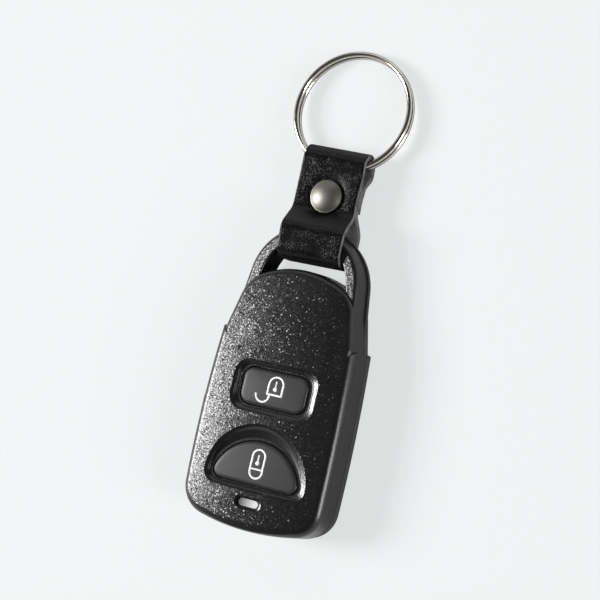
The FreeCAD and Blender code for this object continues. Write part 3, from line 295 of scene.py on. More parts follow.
def shell_finish(name, flecked):
    """Black moulded plastic with a dark line at the parting; only the front shell is flecked."""
    finish = Finish(name, (0.007, 0.007, 0.0072), 0.3, Specular_IOR_Level=0.6)
    groove = abs(finish.z - PARTING_Z).below(0.00026, 0.00008)
    fine, cloud = finish.noise(0.00020, detail=3.0), finish.noise(0.004)
    dark = finish.mix(cloud, (0.0040, 0.0040, 0.0042), (0.0075, 0.0075, 0.0078))
    finish.set("Base Color", finish.mix(groove, dark, (0.001, 0.001, 0.001)))
    if flecked:
        flecked_face(finish, groove, fine, cloud)
    else:
        finish.bump(fine * 0.25 - groove, 0.00006)
        finish.set("Roughness", 0.32 + 0.08 * cloud + 0.4 * groove)
    return finish.material


shell_front = shell_finish("shell_flecked", True)
shell_rear = shell_finish("shell_satin", False)
print("shells:", len(shell_front.node_tree.nodes), "nodes in the flecked plastic")

# %% [markdown]
# ## Rubber, lamp lens and print
# Silicone rubber is a little greyer than the plastic and has a broad, dull sheen. The lamp
# lens is milky white. Its colour has painted shade that greys its left end, where the slot
# shades it, and painted light that whitens it towards the right. The padlock signs are screen
# printed in white, which lies on the rubber as a thin film.


# %% Soft and clear plastics
def rubber_finish(name, tone):
    finish = Finish(name, (tone, tone, tone * 1.05), 0.5, Specular_IOR_Level=0.45)
    dust = finish.noise(0.0012, detail=4.0)
    finish.set("Roughness", 0.38 + 0.10 * dust + 0.40 * finish.edge_on())
    finish.bump(finish.noise(0.00012), 0.000003)
    return finish.material


def lens_finish():
    finish = Finish("lens_milky", (0.72, 0.73, 0.74), 0.18, IOR=1.49)
    # Painted light and shade: grey at the left end, as if shaded by the slot, and white towards the
    # right.
    painted_light = (finish.x / 0.0040 + 0.45).cut() * (0.85 + 0.15 * finish.noise(0.0015))
    finish.set("Base Color", finish.mix(painted_light, (0.16, 0.16, 0.165), (0.88, 0.88, 0.88)))
    return finish.material


def print_finish():
    finish = Finish("white_print", (0.92, 0.93, 0.94), 0.45)
    finish.set("Roughness", 0.40 + 0.15 * finish.noise(0.0003))
    return finish.material


button_rubber = rubber_finish("button_rubber", 0.026)
mat_rubber = rubber_finish("mat_rubber", 0.075)
lens_milky = lens_finish()
white_print = print_finish()
print("soft parts:", button_rubber.name, mat_rubber.name, lens_milky.name, white_print.name)

# %% [markdown]
# ## Leather
# The skin side is dyed black and pressed with small pebbles: cells whose tops are domes, in
# patches. In patches the pebble tops are also painted lighter, as painted glints of the lamp.
# The flesh side and the cut edge are raw and grey, like suede, with a nap of fine noise.


# %% Two sides of one leather
def skin_finish():
    finish = Finish("leather_skin", (0.004, 0.004, 0.004), 0.3, Specular_IOR_Level=0.22)
    bend = finish.vector("MULTIPLY", finish.noise(0.0016, output="Color"), (0.00012,) * 3)
    pebble = finish.cells(0.00038, "Distance", finish.vector("ADD", finish.point, bend))
    patch = finish.noise(0.0035, detail=3.0)
    swell = finish.bump(finish.noise(0.006, detail=1.0), 0.00025)
    dome = (1 - (pebble / 0.46) ** 2).larger(0.0)
    finish.bump(dome * patch.above(0.44, 0.44), 0.00004, swell)
    # Painted highlights: the tops of the pebbles are lighter in patches and stand in for glints.
    painted_glints = pebble.below(0.24, 0.12) * patch.above(0.50, 0.30)
    finish.set("Base Color", finish.mix(painted_glints, (0.0025, 0.0025, 0.0025), (0.050, 0.050, 0.048)))
    finish.set("Roughness", 0.22 + 0.05 * pebble + 0.04 * patch + 0.45 * finish.edge_on())
    return finish.material


def flesh_finish():
    finish = Finish("leather_flesh", (0.25, 0.25, 0.25), 0.95, Specular_IOR_Level=0.2)
    nap = finish.noise(0.00030, detail=4.0, roughness=0.65)
    patch = finish.noise(0.0025)
    tone = ((nap - 0.5) * 2.6 + (patch + 0.05)).cut()
    finish.set("Base Color", finish.mix(tone, (0.02, 0.02, 0.021), (0.26, 0.26, 0.26)))
    finish.bump(nap, 0.00015)
    return finish.material


leather_skin = skin_finish()
leather_flesh = flesh_finish()
print("leather:", leather_skin.name, "and", leather_flesh.name)

# %% [markdown]
# ## Metals and the parts inside
# The rivet is dull nickel, with a cloud of very fine scratches. The ring is polished nickel,
# with faint marks. In the photograph both mirror something dark at their sides, so `edge`
# darkens their reflections there. Inside, the board, its chips, the coin cell and the contacts
# get the plain finish that such parts have.


# %% Nickel, steel and copper
def metal_finish(name, colour, roughness, scratch=0.000003, size=0.0002,
                 stretch=(1.0, 1.0, 1.0), edge=0.0):
    """Bare metal with stretched marks; scratch is their depth, and edge darkens its sides."""
    finish = Finish(name, colour, roughness, Metallic=1.0)
    mark = finish.noise(size, detail=3.0, stretch=stretch)
    cloud = finish.noise(size * 12)
    finish.set("Roughness", roughness - 0.05 + 0.06 * mark + 0.08 * cloud)
    tone = finish.mix(cloud, [0.8 * part for part in colour], colour)
    if edge:
        tone = finish.mix(finish.edge_on(0.62, 0.30) * edge, tone, (0.03, 0.03, 0.028))
        finish.set("Specular Tint", (0.12, 0.12, 0.12))
    finish.set("Base Color", tone)
    finish.bump(mark, scratch)
    return finish.material


rivet_nickel = metal_finish("rivet_nickel", (0.21, 0.203, 0.185), 0.44, edge=0.9)
ring_nickel = metal_finish("ring_nickel", (0.74, 0.71, 0.66), 0.13, 0.000002, edge=0.9)
switch_steel = metal_finish("switch_steel", (0.60, 0.60, 0.58), 0.35, stretch=(1, 8, 1))
can_steel = metal_finish("can_steel", (0.68, 0.67, 0.64), 0.28, stretch=(8, 1, 1))
cell_steel = metal_finish("cell_steel", (0.66, 0.66, 0.65), 0.24, stretch=(12, 1, 1))
contact_bronze = metal_finish("contact_bronze", (0.62, 0.55, 0.38), 0.28, stretch=(1, 6, 1))
coil_copper = metal_finish("coil_copper", (0.62, 0.30, 0.16), 0.35, 0.00002, size=0.0003,
                           stretch=(0.1, 0.1, 3))
screw_steel = metal_finish("screw_steel", (0.16, 0.16, 0.165), 0.38, 0.000004)
print("materials so far:", len(bpy.data.materials))


# %% Board, chips and plain mouldings
def board_finish():
    finish = Finish("board_lacquer", (0.02, 0.13, 0.06), 0.32)
    flat = finish.vector("MULTIPLY", finish.point, (1.0, 1.0, 0.0))
    lanes = finish.out("ShaderNodeTexBrick", "Fac", {"offset": 0.35, "squash": 0.7}, {
        "Vector": flat, "Scale": 420.0, "Mortar Size": 0.035, "Brick Width": 0.9,
        "Row Height": 0.45})
    finish.set("Base Color", finish.mix(lanes, (0.012, 0.10, 0.045), (0.035, 0.19, 0.08)))
    finish.bump(lanes, 0.00003)
    return finish.material


def moulded_finish(name, colour, roughness=0.6):
    finish = Finish(name, colour, roughness)
    grain = finish.noise(0.00015)
    finish.set("Roughness", roughness - 0.06 + 0.12 * grain)
    finish.set("Base Color", finish.mix(grain, [0.75 * part for part in colour], colour))
    finish.bump(grain, 0.00001)
    return finish.material


board_lacquer = board_finish()
chip_resin = moulded_finish("chip_resin", (0.022, 0.022, 0.024))
chip_ceramic = moulded_finish("chip_ceramic", (0.34, 0.23, 0.14))
plunger_black = moulded_finish("plunger_black", (0.03, 0.03, 0.033), 0.4)
led_resin = moulded_finish("led_resin", (0.80, 0.74, 0.50), 0.25)
print("materials so far:", len(bpy.data.materials))

# %% Dress the CAD nodes
DRESS = {
    "front_cover": shell_front, "rear_cover": shell_rear, "cover_screw": screw_steel,
    "keypad_mat": mat_rubber, "unlock_button": button_rubber, "lock_button": button_rubber,
    "panic_button": button_rubber, "led_window": lens_milky, "indicator_led": led_resin,
    "circuit_board": board_lacquer, "unlock_switch": switch_steel, "lock_switch": switch_steel,
    "panic_switch": switch_steel, "unlock_plunger": plunger_black, "lock_plunger": plunger_black,
    "panic_plunger": plunger_black, "microcontroller": chip_resin, "radio_filter": can_steel,
    "crystal": can_steel, "antenna_coil": coil_copper, "board_resistors": chip_resin,
    "board_capacitors": chip_ceramic, "coin_cell": cell_steel, "positive_contact": contact_bronze,
    "negative_contact": contact_bronze, "strap": leather_skin, "rivet_cap": rivet_nickel,
    "rivet_base": rivet_nickel, "split_ring": ring_nickel}
for node, material in DRESS.items():
    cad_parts[node].data.materials.clear()
    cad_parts[node].data.materials.append(material)
print("dressed", len(DRESS), "of", len(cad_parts), "nodes")

# %% [markdown]
# ## Meshes from rules
# The finer pieces are made as rings of points that are joined by quads, which suits straps,
# turned parts and buttons alike. One helper joins the rings, and one puts the finished mesh
# in the scene in metres.


# %% Helpers for meshes
def placed(name, data):
    """An object for a mesh, a lamp or a camera, linked to the scene."""
    piece = bpy.data.objects.new(name, data)
    bpy.context.scene.collection.objects.link(piece)
    return piece


def new_piece(name, points, faces, materials, body=None):
    """A mesh piece from points in millimetres; each face ends with its material's number."""
    mesh = bpy.data.meshes.new(name)
    corners = [face for face, slot in faces]
    mesh.from_pydata([Vector(point) * MM for point in points], [], corners)
    for material in materials:
        mesh.materials.append(material)
    for polygon, (face, slot) in zip(mesh.polygons, faces):
        polygon.material_index = slot
        polygon.use_smooth = True
    piece = placed(name, mesh)
    if body:
        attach(piece, body)
    return piece


def rings_to_faces(rings, around):
    """Quads between rings of equal length, numbered one after another."""
    faces = []
    for ring in range(rings - 1):
        for place in range(around):
            after, up = (place + 1) % around, ring + 1
            faces.append(([ring * around + place, ring * around + after,
                           up * around + after, up * around + place], 0))
    return faces


def tidy_normals(piece):
    """Merges doubled points and turns all faces outwards."""
    mesh = bmesh.new()
    mesh.from_mesh(piece.data)
    bmesh.ops.remove_doubles(mesh, verts=mesh.verts, dist=0.000002)
    bmesh.ops.recalc_face_normals(mesh, faces=mesh.faces)
    mesh.to_mesh(piece.data)
    mesh.free()
    return piece


print("a tube of 3 rings with 8 points each has", len(rings_to_faces(3, 8)), "quads")

# %% [markdown]
# ## The strap
# The real strap is one strip of leather about 73 mm long. It starts under the rivet, goes
# round the split ring, passes back under the rivet on top, wraps the loop of the housing and
# ends between the other two layers. Its middle line is a row of corners with a bend at each.
# The strip's section, with softened edges, then follows that line.

# %% The strap's line
THICK, WIDE = 1.3, 15.6
RIVET_Y, SEAT_Z = 54.9, 7.0
STRAP_LINE = [  # y, z and the radius of the bend
    (52.6, 3.63, 0), (59.0, 3.63, 2.0), (61.6, 0.65, 2.0), (65.95, 0.65, 2.85), (65.95, 6.7, 2.85),
    (58.6, 6.35, 8.0), (51.3, 6.35, 3.2), (46.9, 10.6, 3.0), (39.95, 10.6, 2.3), (39.95, 1.1, 2.2),
    (47.8, 1.1, 2.0), (51.9, 4.99, 2.0), (58.0, 4.99, 0)]
ROW_STEP = 0.35


def straight_run(start, end):
    """Points and directions from start up to end."""
    run = end - start
    count = max(1, round(run.length / ROW_STEP)) if run.length > 1e-6 else 0
    return [(start.lerp(end, k / count), run.normalized()) for k in range(count)]


def round_run(start, end, centre):
    """The same along an arc about a centre."""
    first, last = start - centre, end - centre
    turn = first.angle_signed(last)
    count = max(4, round(abs(turn) * first.length / ROW_STEP))
    run = []
    for k in range(count):
        spoke = first.copy()
        spoke.rotate(Matrix.Rotation(-turn * k / count, 2))
        along = Vector((-spoke.y, spoke.x)) * (-1 if turn > 0 else 1)
        run.append((centre + spoke, along.normalized()))
    return run


def bent_line(corners):
    """Points (y, z) and directions along a row of corners, each rounded by its radius."""
    places = [Vector((y, z)) for y, z, radius in corners]
    line, here = [], places[0]
    for before, corner, after, (y, z, radius) in zip(places, places[1:], places[2:], corners[1:]):
        ahead, behind = (after - corner).normalized(), (before - corner).normalized()
        half = behind.angle(ahead) / 2
        reach = radius / math.tan(half)
        centre = corner + (ahead + behind).normalized() * (radius / math.sin(half))
        bend, end = corner + behind * reach, corner + ahead * reach
        line += straight_run(here, bend) + round_run(bend, end, centre)
        here = end
    return line + straight_run(here, places[-1]) + [(places[-1], (places[-1] - here).normalized())]


strap_line = bent_line(STRAP_LINE)
strap_length = sum((b[0] - a[0]).length for a, b in zip(strap_line, strap_line[1:]))
print("strap: %d rows, %.1f mm long" % (len(strap_line), strap_length))

# %% The strap's section and skin
EDGE_ROUND, ACROSS = 0.24, 26
WAISTS = [  # y of the waist, its width, the share that is drawn in, and the side of the strap
    (54.9, 5.0, 0.06, 1), (65.0, 4.0, 0.05, 1), (40.0, 5.0, 0.05, -1)]
SKEW, SKEW_FROM_Y, SKEW_OVER = -0.02, 57.0, 6.0
TOP_FROM_Z, TOP_FROM_Y, TOP_TO_Y = 6.0, 47.5, 62.0  # where the layer under the cap runs
PRESSED_RADIUS, PRESSED_WIDTH = 6.0, 2.0
DIMPLE, DIMPLE_RADIUS, DIMPLE_WIDTH = 0.22, 3.9, 1.2


def strip_section():
    """(x, height, side) round the strip: the skin side first, then the edge and the flesh side."""
    half, top = WIDE / 2, THICK / 2
    flat = half - EDGE_ROUND
    skin = [(-flat + 2 * flat * k / ACROSS, top, 0) for k in range(ACROSS + 1)]
    turn = [(flat + EDGE_ROUND * math.sin(math.radians(angle)),
             top - EDGE_ROUND + EDGE_ROUND * math.cos(math.radians(angle)), int(angle > 60))
            for angle in (30, 60, 90)]
    low = [(x, -z, 1) for x, z, side in reversed(turn)]
    flesh = [(-x, -top, 1) for x, z, side in skin[::2]]
    left = [(-x, z, side) for x, z, side in reversed(turn + low)]
    return skin + turn + low + flesh + left


def bell(value, middle, width):
    return math.exp(-((value - middle) / width) ** 2)


def leather_spot(x, y, z, top_layer):
    """Where a point of the strip settles: drawn in at the waists and pressed by the rivet."""
    drawn_in = sum(share * bell(y, middle, width)
                   for middle, width, share, side in WAISTS if x * side > 0)
    skew = SKEW * x * min(1.0, max(0.0, (y - SKEW_FROM_Y) / SKEW_OVER))
    if top_layer:
        reach = math.hypot(x, y - RIVET_Y)
        share = eased(min(1.0, max(0.0, (PRESSED_RADIUS - reach) / PRESSED_WIDTH)))
        z -= (max(0.0, z - (SEAT_Z - THICK / 2)) * share
              + DIMPLE * bell(reach, DIMPLE_RADIUS, DIMPLE_WIDTH))
    return x * (1 - drawn_in), y + skew, z


def strap_piece():
    section = strip_section()
    rows, around = len(strap_line), len(section)
    points = []
    for place, along in strap_line:
        top_layer = place.y > TOP_FROM_Z and TOP_FROM_Y < place.x < TOP_TO_Y
        for x, height, side in section:
            wide, centre_y, centre_z = leather_spot(x, place.x, place.y, top_layer)
            points.append((wide, centre_y + along.y * height, centre_z - along.x * height))
    sides = [side for x, height, side in section]
    faces = [(corners, max(sides[k % around], sides[(k + 1) % around]))
             for k, (corners, slot) in enumerate(rings_to_faces(rows, around))]
    start, end = list(range(around)), list(range((rows - 1) * around, rows * around))
    faces += [(start, 1), (end[::-1], 1)]
    return new_piece("strap_leather", points, faces, [leather_skin, leather_flesh])


strap_leather = tidy_normals(strap_piece())
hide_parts("strap")
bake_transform(strap_leather)
print("strap:", len(strap_leather.data.polygons), "faces")

# %% [markdown]
# ## The rivet
# A turned part is a profile spun about its axis. The cap is a shallow dome whose rim rolls
# under. It catches the eye on the dark strap, so it gets a smooth curve and 96 steps.

# %% The rivet's cap
CAP_RADIUS, CAP_RISE, DOME_RISE, ROLL = 3.8, 1.6, 1.15, 0.32
SHANK_RADIUS, SHANK_END_Z = 1.25, 2.45
DOME_STEPS, ROLL_STEPS = 21, 8
TIP = 0.0005  # radius that stands for a point on the axis


def lathe(name, profile, y, material, body, steps=96):
    """Spins (radius, height) pairs about the vertical line at y."""
    points = []
    for radius, height in profile:
        for k in range(steps):
            angle = 2 * math.pi * k / steps
            points.append((max(radius, TIP) * math.cos(angle),
                           y + max(radius, TIP) * math.sin(angle), height))
    faces = rings_to_faces(len(profile), steps)
    last = (len(profile) - 1) * steps
    faces += [(list(range(steps)), 0), (list(range(last, last + steps)), 0)]
    return tidy_normals(new_piece(name, points, faces, [material], body))


def cap_profile():
    """From the dome's top to its rim, round the roll, and down the shank."""
    top = SEAT_Z + CAP_RISE
    sphere = (CAP_RADIUS ** 2 + DOME_RISE ** 2) / (2 * DOME_RISE)
    profile = [(0.0, top)]
    for k in range(1, DOME_STEPS + 1):
        radius = (CAP_RADIUS - 0.12) * k / DOME_STEPS
        profile.append((radius, top - (sphere - math.sqrt(sphere ** 2 - radius ** 2))))
    for k in range(1, ROLL_STEPS + 1):
        angle = math.radians(70 - 25 * k)
        profile.append((CAP_RADIUS - ROLL + ROLL * math.cos(angle),
                        SEAT_Z + ROLL + ROLL * 0.95 * math.sin(angle)))
    return profile + [(SHANK_RADIUS, SEAT_Z + 0.01), (SHANK_RADIUS, SHANK_END_Z),
                      (0.0, SHANK_END_Z)]


rivet_top = lathe("rivet_dome", cap_profile(), RIVET_Y, rivet_nickel, "strap_end")
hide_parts("rivet_cap")
print("rivet:", len(rivet_top.data.polygons), "faces")

# %% [markdown]
# ## The split ring
# The ring is one wire wound twice round, with a short step where it passes from the lower
# turn to the upper one. That is a rule, so Geometry Nodes make it: a row of points is bent
# round the circle, a smooth step lifts the second turn, and a round profile follows it. The
# wire grows thinner towards its two ends.

# %% The ring as a node tree
RING = {"Radius": 13.775, "Wire": 0.625, "Pitch": 1.7, "Jog": 34.0, "Start": -107.0}
RING_Y, FOLD_Y, FOLD_Z = 75.664, 63.1, 3.5
RING_LEAN = 4.37
RING_STEPS, WIRE_STEPS = 320, 20
END_SHARE, TAPER_DEGREES = 0.45, 16


def ring_tree():
    """A tree that winds a wire twice round, with its sizes in millimetres as inputs."""
    tree = bpy.data.node_groups.new("wound_ring", "GeometryNodeTree")
    tree.interface.new_socket("Ring", in_out="OUTPUT", socket_type="NodeSocketGeometry")
    for name in RING:
        tree.interface.new_socket(name, in_out="INPUT", socket_type="NodeSocketFloat")

    def after(previous, kind):
        """A node whose first input takes the first output of the one before."""
        made = tree.nodes.new(kind)
        tree.links.new(previous.outputs[0], made.inputs[0])
        return made

    given = tree.nodes.new("NodeGroupInput")
    radius, wire, pitch, jog, start = [Signal(tree, given.outputs[name]) for name in RING]
    index = Signal(tree, tree.nodes.new("GeometryNodeInputIndex").outputs[0])
    degrees = jog + index * ((720 - jog) / RING_STEPS)
    angle = (start + degrees) * (math.pi / 180)
    rise = pitch * (eased(((degrees - 360) / jog).cut()) - 0.5)
    spot = tree.nodes.new("ShaderNodeCombineXYZ")
    plug(tree, spot.inputs[0], radius * angle.cosine() * MM)
    plug(tree, spot.inputs[1], (RING_Y + radius * angle.sine()) * MM)
    plug(tree, spot.inputs[2], (FOLD_Z + rise) * MM)
    row = tree.nodes.new("GeometryNodeMeshLine")
    row.inputs["Count"].default_value = RING_STEPS + 1
    place = after(row, "GeometryNodeSetPosition")
    tree.links.new(spot.outputs[0], place.inputs["Position"])
    profile = tree.nodes.new("GeometryNodeCurvePrimitiveCircle")
    profile.inputs["Resolution"].default_value = WIRE_STEPS
    plug(tree, profile.inputs["Radius"], wire * MM)
    from_end = (degrees - jog).smaller(720 - degrees)
    tube = after(after(place, "GeometryNodeMeshToCurve"), "GeometryNodeCurveToMesh")
    tree.links.new(profile.outputs[0], tube.inputs["Profile Curve"])
    plug(tree, tube.inputs["Scale"],
         (END_SHARE + from_end * ((1 - END_SHARE) / TAPER_DEGREES)).smaller(1.0))
    tube.inputs["Fill Caps"].default_value = True
    paint = after(after(tube, "GeometryNodeSetShadeSmooth"), "GeometryNodeSetMaterial")
    paint.inputs["Material"].default_value = ring_nickel
    after(paint, "NodeGroupOutput")
    return tree


# %% The wound ring
def from_tree(name, tree, values):
    """Runs a node tree once and keeps the result as a plain mesh."""
    carrier = placed(name + "_tree", bpy.data.meshes.new(name + "_tree"))
    modifier = carrier.modifiers.new("tree", "NODES")
    modifier.node_group = tree
    for item in tree.interface.items_tree:
        if item.in_out == "INPUT":
            modifier[item.identifier] = values[item.name]
    settled = carrier.evaluated_get(bpy.context.evaluated_depsgraph_get())
    mesh = bpy.data.meshes.new_from_object(settled)
    bpy.data.objects.remove(carrier)
    mesh.name = name
    return placed(name, mesh)


wound_ring = from_tree("wound_ring", ring_tree(), RING)
hinge = Vector((0, FOLD_Y, FOLD_Z)) * MM
lean = Matrix.Translation(hinge) @ Matrix.Rotation(math.radians(-RING_LEAN), 4, "X")
wound_ring.data.transform(lean @ Matrix.Translation(-hinge))
tidy_normals(wound_ring)
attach(wound_ring, "key_ring")
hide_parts("split_ring")
print("ring:", len(wound_ring.data.polygons), "faces")

# %% [markdown]
# ## Crowned buttons
# A moulded rubber button is never quite flat: its edge is rounded and its top swells a little
# towards the middle. Its outline is drawn again and again, each time further in and higher,
# and the rings are joined.

# %% Outlines of the two buttons
UNLOCK_CENTRE, UNLOCK_HALF, UNLOCK_CORNER = (0.0, 9.7), (8.1, 4.15), 2.4
LOCK_CENTRE, LOCK_HALF, LOCK_CORNER = (0.0, -7.4), (9.6, 5.0), 1.9
LOCK_ARC_Y, LOCK_ARC_RADIUS, LOCK_BASE_Y = -13.1, 11.0, -11.9


def arc_points(cx, cy, radius, start, end, count, extra=0):
    """Points on an arc up to its end, which only an extra one reaches; angles in degrees."""
    angles = [math.radians(start + (end - start) * k / count) for k in range(count + extra)]
    return [(cx + radius * math.cos(angle), cy + radius * math.sin(angle)) for angle in angles]


def unlock_ring(inset):
    """The unlock button's outline, moved inwards."""
    corner = max(UNLOCK_CORNER - inset, 0.35)
    far_x, far_y = [half - inset - corner for half in UNLOCK_HALF]
    ring = []
    for sx, sy, start in ((1, 1, 0), (-1, 1, 90), (-1, -1, 180), (1, -1, 270)):
        ring += arc_points(sx * far_x, UNLOCK_CENTRE[1] + sy * far_y, corner,
                           start, start + 90, 10, extra=1)
    return ring


def lock_ring(inset):
    """The lock button's outline, moved inwards: a round top on a straight base."""
    big, base = LOCK_ARC_RADIUS - inset, LOCK_BASE_Y + inset
    corner = max(LOCK_CORNER - inset, 0.3)
    corner_y = base + corner
    corner_x = math.sqrt((big - corner) ** 2 - (corner_y - LOCK_ARC_Y) ** 2)
    low = math.degrees(math.atan2(corner_y - LOCK_ARC_Y, corner_x))
    return (arc_points(0, LOCK_ARC_Y, big, low, 180 - low, 40)
            + arc_points(-corner_x, corner_y, corner, 180 - low, 270, 8)
            + [(-corner_x + 2 * corner_x * k / 16, base) for k in range(16)]
            + arc_points(corner_x, corner_y, corner, -90, low, 8))


print("outlines:", len(unlock_ring(0)), "and", len(lock_ring(0)), "points")

# %% The buttons as pillows
BUTTON_TOP, BUTTON_FOOT, FLANGE, FLANGE_THICK = 11.9, 9.2, 0.8, 0.7
BUTTON_EDGE, BUTTON_CROWN = 0.75, 0.42
EDGE_STEPS, CROWN_STEPS = 8, 14


def crowned_button(name, outline, centre, half, node):
    """A button on a flange, with a rounded edge and a slightly swollen top."""
    def pillow(x, y):
        return BUTTON_TOP - BUTTON_CROWN / 2 * (((x - centre[0]) / half[0]) ** 2
                                                + ((y - centre[1]) / half[1]) ** 2)

    points, around = [], len(outline(0.0))
    ledge = BUTTON_FOOT + FLANGE_THICK
    for inset, height in ((-FLANGE, BUTTON_FOOT), (-FLANGE, ledge), (0.0, ledge)):
        points += [(x, y, height) for x, y in outline(inset)]
    for k in range(EDGE_STEPS + 1):
        angle = math.radians(90 * k / EDGE_STEPS)
        points += [(x, y, pillow(x, y) - BUTTON_EDGE * (1 - math.sin(angle)))
                   for x, y in outline(BUTTON_EDGE * (1 - math.cos(angle)))]
    for k in range(1, CROWN_STEPS + 1):
        share = 1 - k / CROWN_STEPS
        inner = [(centre[0] + (x - centre[0]) * share, centre[1] + (y - centre[1]) * share)
                 for x, y in outline(BUTTON_EDGE)]
        points += [(x, y, pillow(x, y)) for x, y in inner]
    faces = rings_to_faces(len(points) // around, around)
    faces.append((list(range(around)), 0))
    return tidy_normals(new_piece(name, points, faces, [button_rubber], node))


unlock_cap = crowned_button("unlock_cap", unlock_ring, UNLOCK_CENTRE, UNLOCK_HALF, "unlock_button")
lock_cap = crowned_button("lock_cap", lock_ring, LOCK_CENTRE, LOCK_HALF, "lock_button")
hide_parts("unlock_button")
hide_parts("lock_button")
print("buttons:", len(unlock_cap.data.polygons), "and", len(lock_cap.data.polygons), "faces")

# %% [markdown]
# ## Padlock signs
# Each sign is a few strokes of white print. A stroke is a flat band along a row of points,
# with its corners mitred. It is dropped on the button from above, so it follows the crown.


# %% Strokes
def band(points, width, closed):
    """Left and right edge points of a band along a row of (x, y) points."""
    count, pairs = len(points), []
    for k, (x, y) in enumerate(points):
        runs = []
        if closed or k > 0:
            before_x, before_y = points[k - 1]
            runs.append(Vector((x - before_x, y - before_y)).normalized())
        if closed or k < count - 1:
            after_x, after_y = points[(k + 1) % count]
            runs.append(Vector((after_x - x, after_y - y)).normalized())
        along = sum(runs, Vector((0, 0))).normalized()
        side = Vector((-along.y, along.x))
        stretch = 1 / max(0.4, side.dot(Vector((-runs[0].y, runs[0].x))))
        offset = side * (width / 2 * stretch)
        pairs.append(((x + offset.x, y + offset.y), (x - offset.x, y - offset.y)))
    return pairs


def closer(points, closed, step=0.25):
    """The same row of points with more of them on its long runs."""
    row = []
    ends = list(zip(points, points[1:])) + ([(points[-1], points[0])] if closed else [])
    for (x, y), (next_x, next_y) in ends:
        count = max(1, math.ceil(math.hypot(next_x - x, next_y - y) / step))
        row += [(x + (next_x - x) * k / count, y + (next_y - y) * k / count)
                for k in range(count)]
    return row if closed else row + [points[-1]]


def surface_of(piece):
    """A search tree of a piece's faces, in metres."""
    mesh = bmesh.new()
    mesh.from_mesh(piece.data)
    tree = BVHTree.FromBMesh(mesh)
    mesh.free()
    return tree


corner_pairs = band([(0, 0), (1, 0), (1, 1), (0, 1)], 0.1, True)
print("a square stroke is drawn by", len(corner_pairs), "pairs of points")

# %% Print as a film
PRINT_FILM = 0.03


def thicken(piece, depth):
    """Gives a flat film its thickness with a Solidify modifier that is applied at once."""
    mesh = bmesh.new()
    mesh.from_mesh(piece.data)
    for face in mesh.faces:
        if face.normal.z < 0:
            face.normal_flip()
    mesh.to_mesh(piece.data)
    mesh.free()
    modifier = piece.modifiers.new("film", "SOLIDIFY")
    modifier.thickness, modifier.offset = depth, -1.0
    settled = piece.evaluated_get(bpy.context.evaluated_depsgraph_get())
    mesh = bpy.data.meshes.new_from_object(settled)
    piece.modifiers.clear()
    piece.data = mesh


def printed_sign(name, strokes, blob, on, body):
    """White strokes and a blob that lie on a button; strokes are (row, closed, width)."""
    below = surface_of(on)
    points, faces = [], []

    def drop(x, y):
        """Adds a point on top of the button and gives its number."""
        hit = below.ray_cast(Vector((x, y, 20)) * MM, Vector((0, 0, -1)))[0]
        points.append((x, y, hit.z / MM + PRINT_FILM))
        return len(points) - 1

    for row, closed, width in strokes:
        pairs = [(drop(*left), drop(*right))
                 for left, right in band(closer(row, closed), width, closed)]
        if closed:
            pairs.append(pairs[0])
        for (left, right), (next_left, next_right) in zip(pairs, pairs[1:]):
            faces.append(([left, right, next_right, next_left], 0))
    faces.append(([drop(x, y) for x, y in blob], 0))
    piece = new_piece(name, points, faces, [white_print], body)
    thicken(piece, PRINT_FILM * MM)
    return piece


# %% The two signs
LINE = 0.44


def keyhole(x, top, blob):
    """A slim stem with a round blob at its lower end."""
    foot = blob + 0.6
    stem = [(x + 0.17, foot), (x + 0.22, top), (x - 0.22, top), (x - 0.17, foot)]
    return arc_points(x, blob, 0.50, 115, 425, 20) + stem


def padlock_body(x, low, high, half):
    """A square-footed arch, drawn from its lower left corner."""
    arch = arc_points(x, high - half, half, 0, 180, 16)
    return [(x - half, low), (x + half, low)] + arch + [(x - half, high - half)]


case = padlock_body(0.38, 8.62, 12.65, 1.73)
open_shackle = arc_points(-2.45, 8.22, 1.63, 8, -191, 24)
unlock_sign = printed_sign("unlock_sign", [(case, True, LINE), (open_shackle, False, LINE)],
                           keyhole(0.34, 11.75, 9.85), unlock_cap, "unlock_button")
oval = arc_points(0.12, -5.38, 1.53, 0, 180, 18) + arc_points(0.12, -8.75, 1.53, 180, 360, 18)
bar = [(-1.3, -8.23), (1.5, -8.23)]
lock_sign = printed_sign("lock_sign", [(oval, True, LINE), (bar, False, LINE * 0.9)],
                         keyhole(0.10, -5.0, -6.87), lock_cap, "lock_button")
print("signs:", len(unlock_sign.data.polygons), "and", len(lock_sign.data.polygons), "faces")

# %% [markdown]
# ## Table, lamps and camera
# The part lies on a pale table without shine. Most of what the camera sees of it is one even
# tone, and the rest is the light and the shadow on it. One large soft lamp stands low on the
# left, so its reflection brightens the left of the flecked face and fades towards the right. A
# weaker one on the right draws a thin light along the rounded edge, and a faint one stands
# beyond the ring.

# %% The table
TABLE_HALF = 1.5
SEEN_GLOW = 0.76  # the share of the even tone


def table():
    corners = [(x * TABLE_HALF, y * TABLE_HALF, 0) for x, y in ((-1, -1), (1, -1), (1, 1), (-1, 1))]
    mesh = bpy.data.meshes.new("table")
    mesh.from_pydata(corners, [], [(0, 1, 2, 3)])
    top = placed("table", mesh)
    finish = Finish("pale_table", (0.86, 0.875, 0.885), 0.7, Specular_IOR_Level=0.0)
    glow = finish.node("ShaderNodeEmission", inputs={"Color": (0.855, 0.868, 0.875)})
    seen = finish.out("ShaderNodeLightPath", "Is Camera Ray") * SEEN_GLOW
    both = finish.out("ShaderNodeMixShader", 0, inputs={
        0: seen, 1: Signal(finish.tree, finish.shader.outputs[0]),
        2: Signal(finish.tree, glow.outputs[0])})
    plug(finish.tree, finish.tree.nodes["Material Output"].inputs["Surface"], both)
    mesh.materials.append(finish.material)
    top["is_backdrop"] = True
    print("table:", 2 * TABLE_HALF, "m wide")


table()


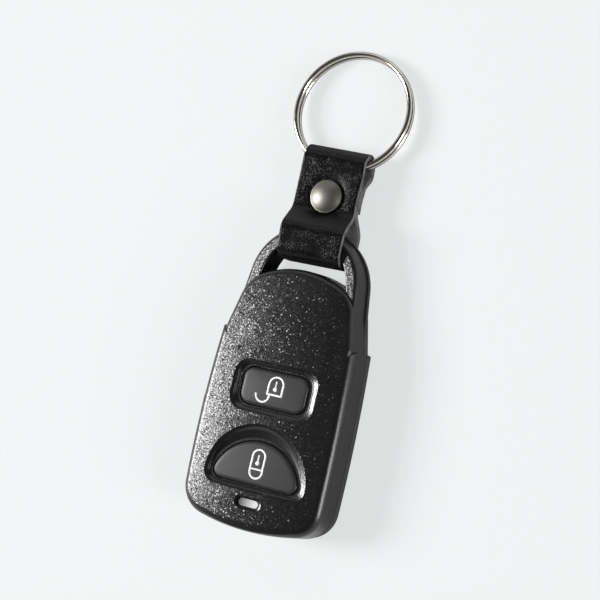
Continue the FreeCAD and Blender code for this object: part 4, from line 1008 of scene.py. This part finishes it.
# %% Soft lamps
def soft_lamp(name, place, target, power, width, height):
    """An area lamp that looks at a target; places and sizes are in millimetres."""
    data = bpy.data.lights.new(name, "AREA")
    data.shape, data.size, data.size_y = "RECTANGLE", width * MM, height * MM
    data.energy = power
    lamp = placed(name, data)
    lamp.location = Vector(place) * MM
    aim = (Vector(target) - Vector(place)).normalized()
    lamp.rotation_euler = aim.to_track_quat("-Z", "Y").to_euler()
    print(name, "%.1f W" % power)


soft_lamp("key_left", (-1160, -80, 860), (0, 20, 6), 29.0, 480, 560)
soft_lamp("sky_top", (-260, 1150, 900), (0, 30, 6), 1.5, 900, 400)
soft_lamp("edge_right", (1060, -140, 560), (0, 10, 6), 8.5, 300, 560)

# %% The room
ROOM_LIGHT, ROOM_SEEN, ROOM_WALL = 0.06, 0.85, 0.75


def pale_room():
    """A world that lights little; the camera and level glossy rays meet the room's pale walls."""
    world = bpy.data.worlds.new("pale_room")
    world.use_nodes = True
    bpy.context.scene.world = world
    tree = world.node_tree
    ways = tree.nodes.new("ShaderNodeSeparateXYZ")
    tree.links.new(tree.nodes.new("ShaderNodeTexCoord").outputs["Generated"], ways.inputs[0])
    rays = tree.nodes.new("ShaderNodeLightPath").outputs
    glossy, seen = Signal(tree, rays["Is Glossy Ray"]), Signal(tree, rays["Is Camera Ray"])
    wall = Signal(tree, ways.outputs[2]).below(0.40, 0.30)
    background = tree.nodes["Background"]
    plug(tree, background.inputs["Color"], (0.97, 0.98, 1.0))
    plug(tree, background.inputs["Strength"],
         glossy * wall * ROOM_WALL + seen * ROOM_SEEN + ROOM_LIGHT)
    print("world:", world.name)


pale_room()

# %% The camera
# Its three axes, place and lens were solved from the outlines of the housing, the buttons and
# the ring in the photograph.
RIGHT, UP, BACK = (0.8968, 0.2209, -0.3834), (-0.1852, 0.9743, 0.1283), (0.4019, -0.0440, 0.9146)
STAND = (139.87, 15.38, 327.0)
camera_data = bpy.data.cameras.new("camera")
camera_data.sensor_width, camera_data.lens = 36.0, 92.96
camera_data.clip_start, camera_data.clip_end = 0.01, 10.0
camera = placed("camera", camera_data)
turn = Matrix((RIGHT, UP, BACK)).transposed()
camera.matrix_world = Matrix.Translation(Vector(STAND) * MM) @ turn.to_4x4()
bpy.context.scene.camera = camera
bpy.context.scene.view_settings.view_transform = "Standard"
print("camera: %.0f mm from the middle of the back" % Vector(STAND).length)

# %% Sizes and the end
low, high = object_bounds()
grown = [round((a - b) / MM, 2) for a, b in zip((*low, *high), (*cad_low, *cad_high))]
print("grown by mm:", grown)
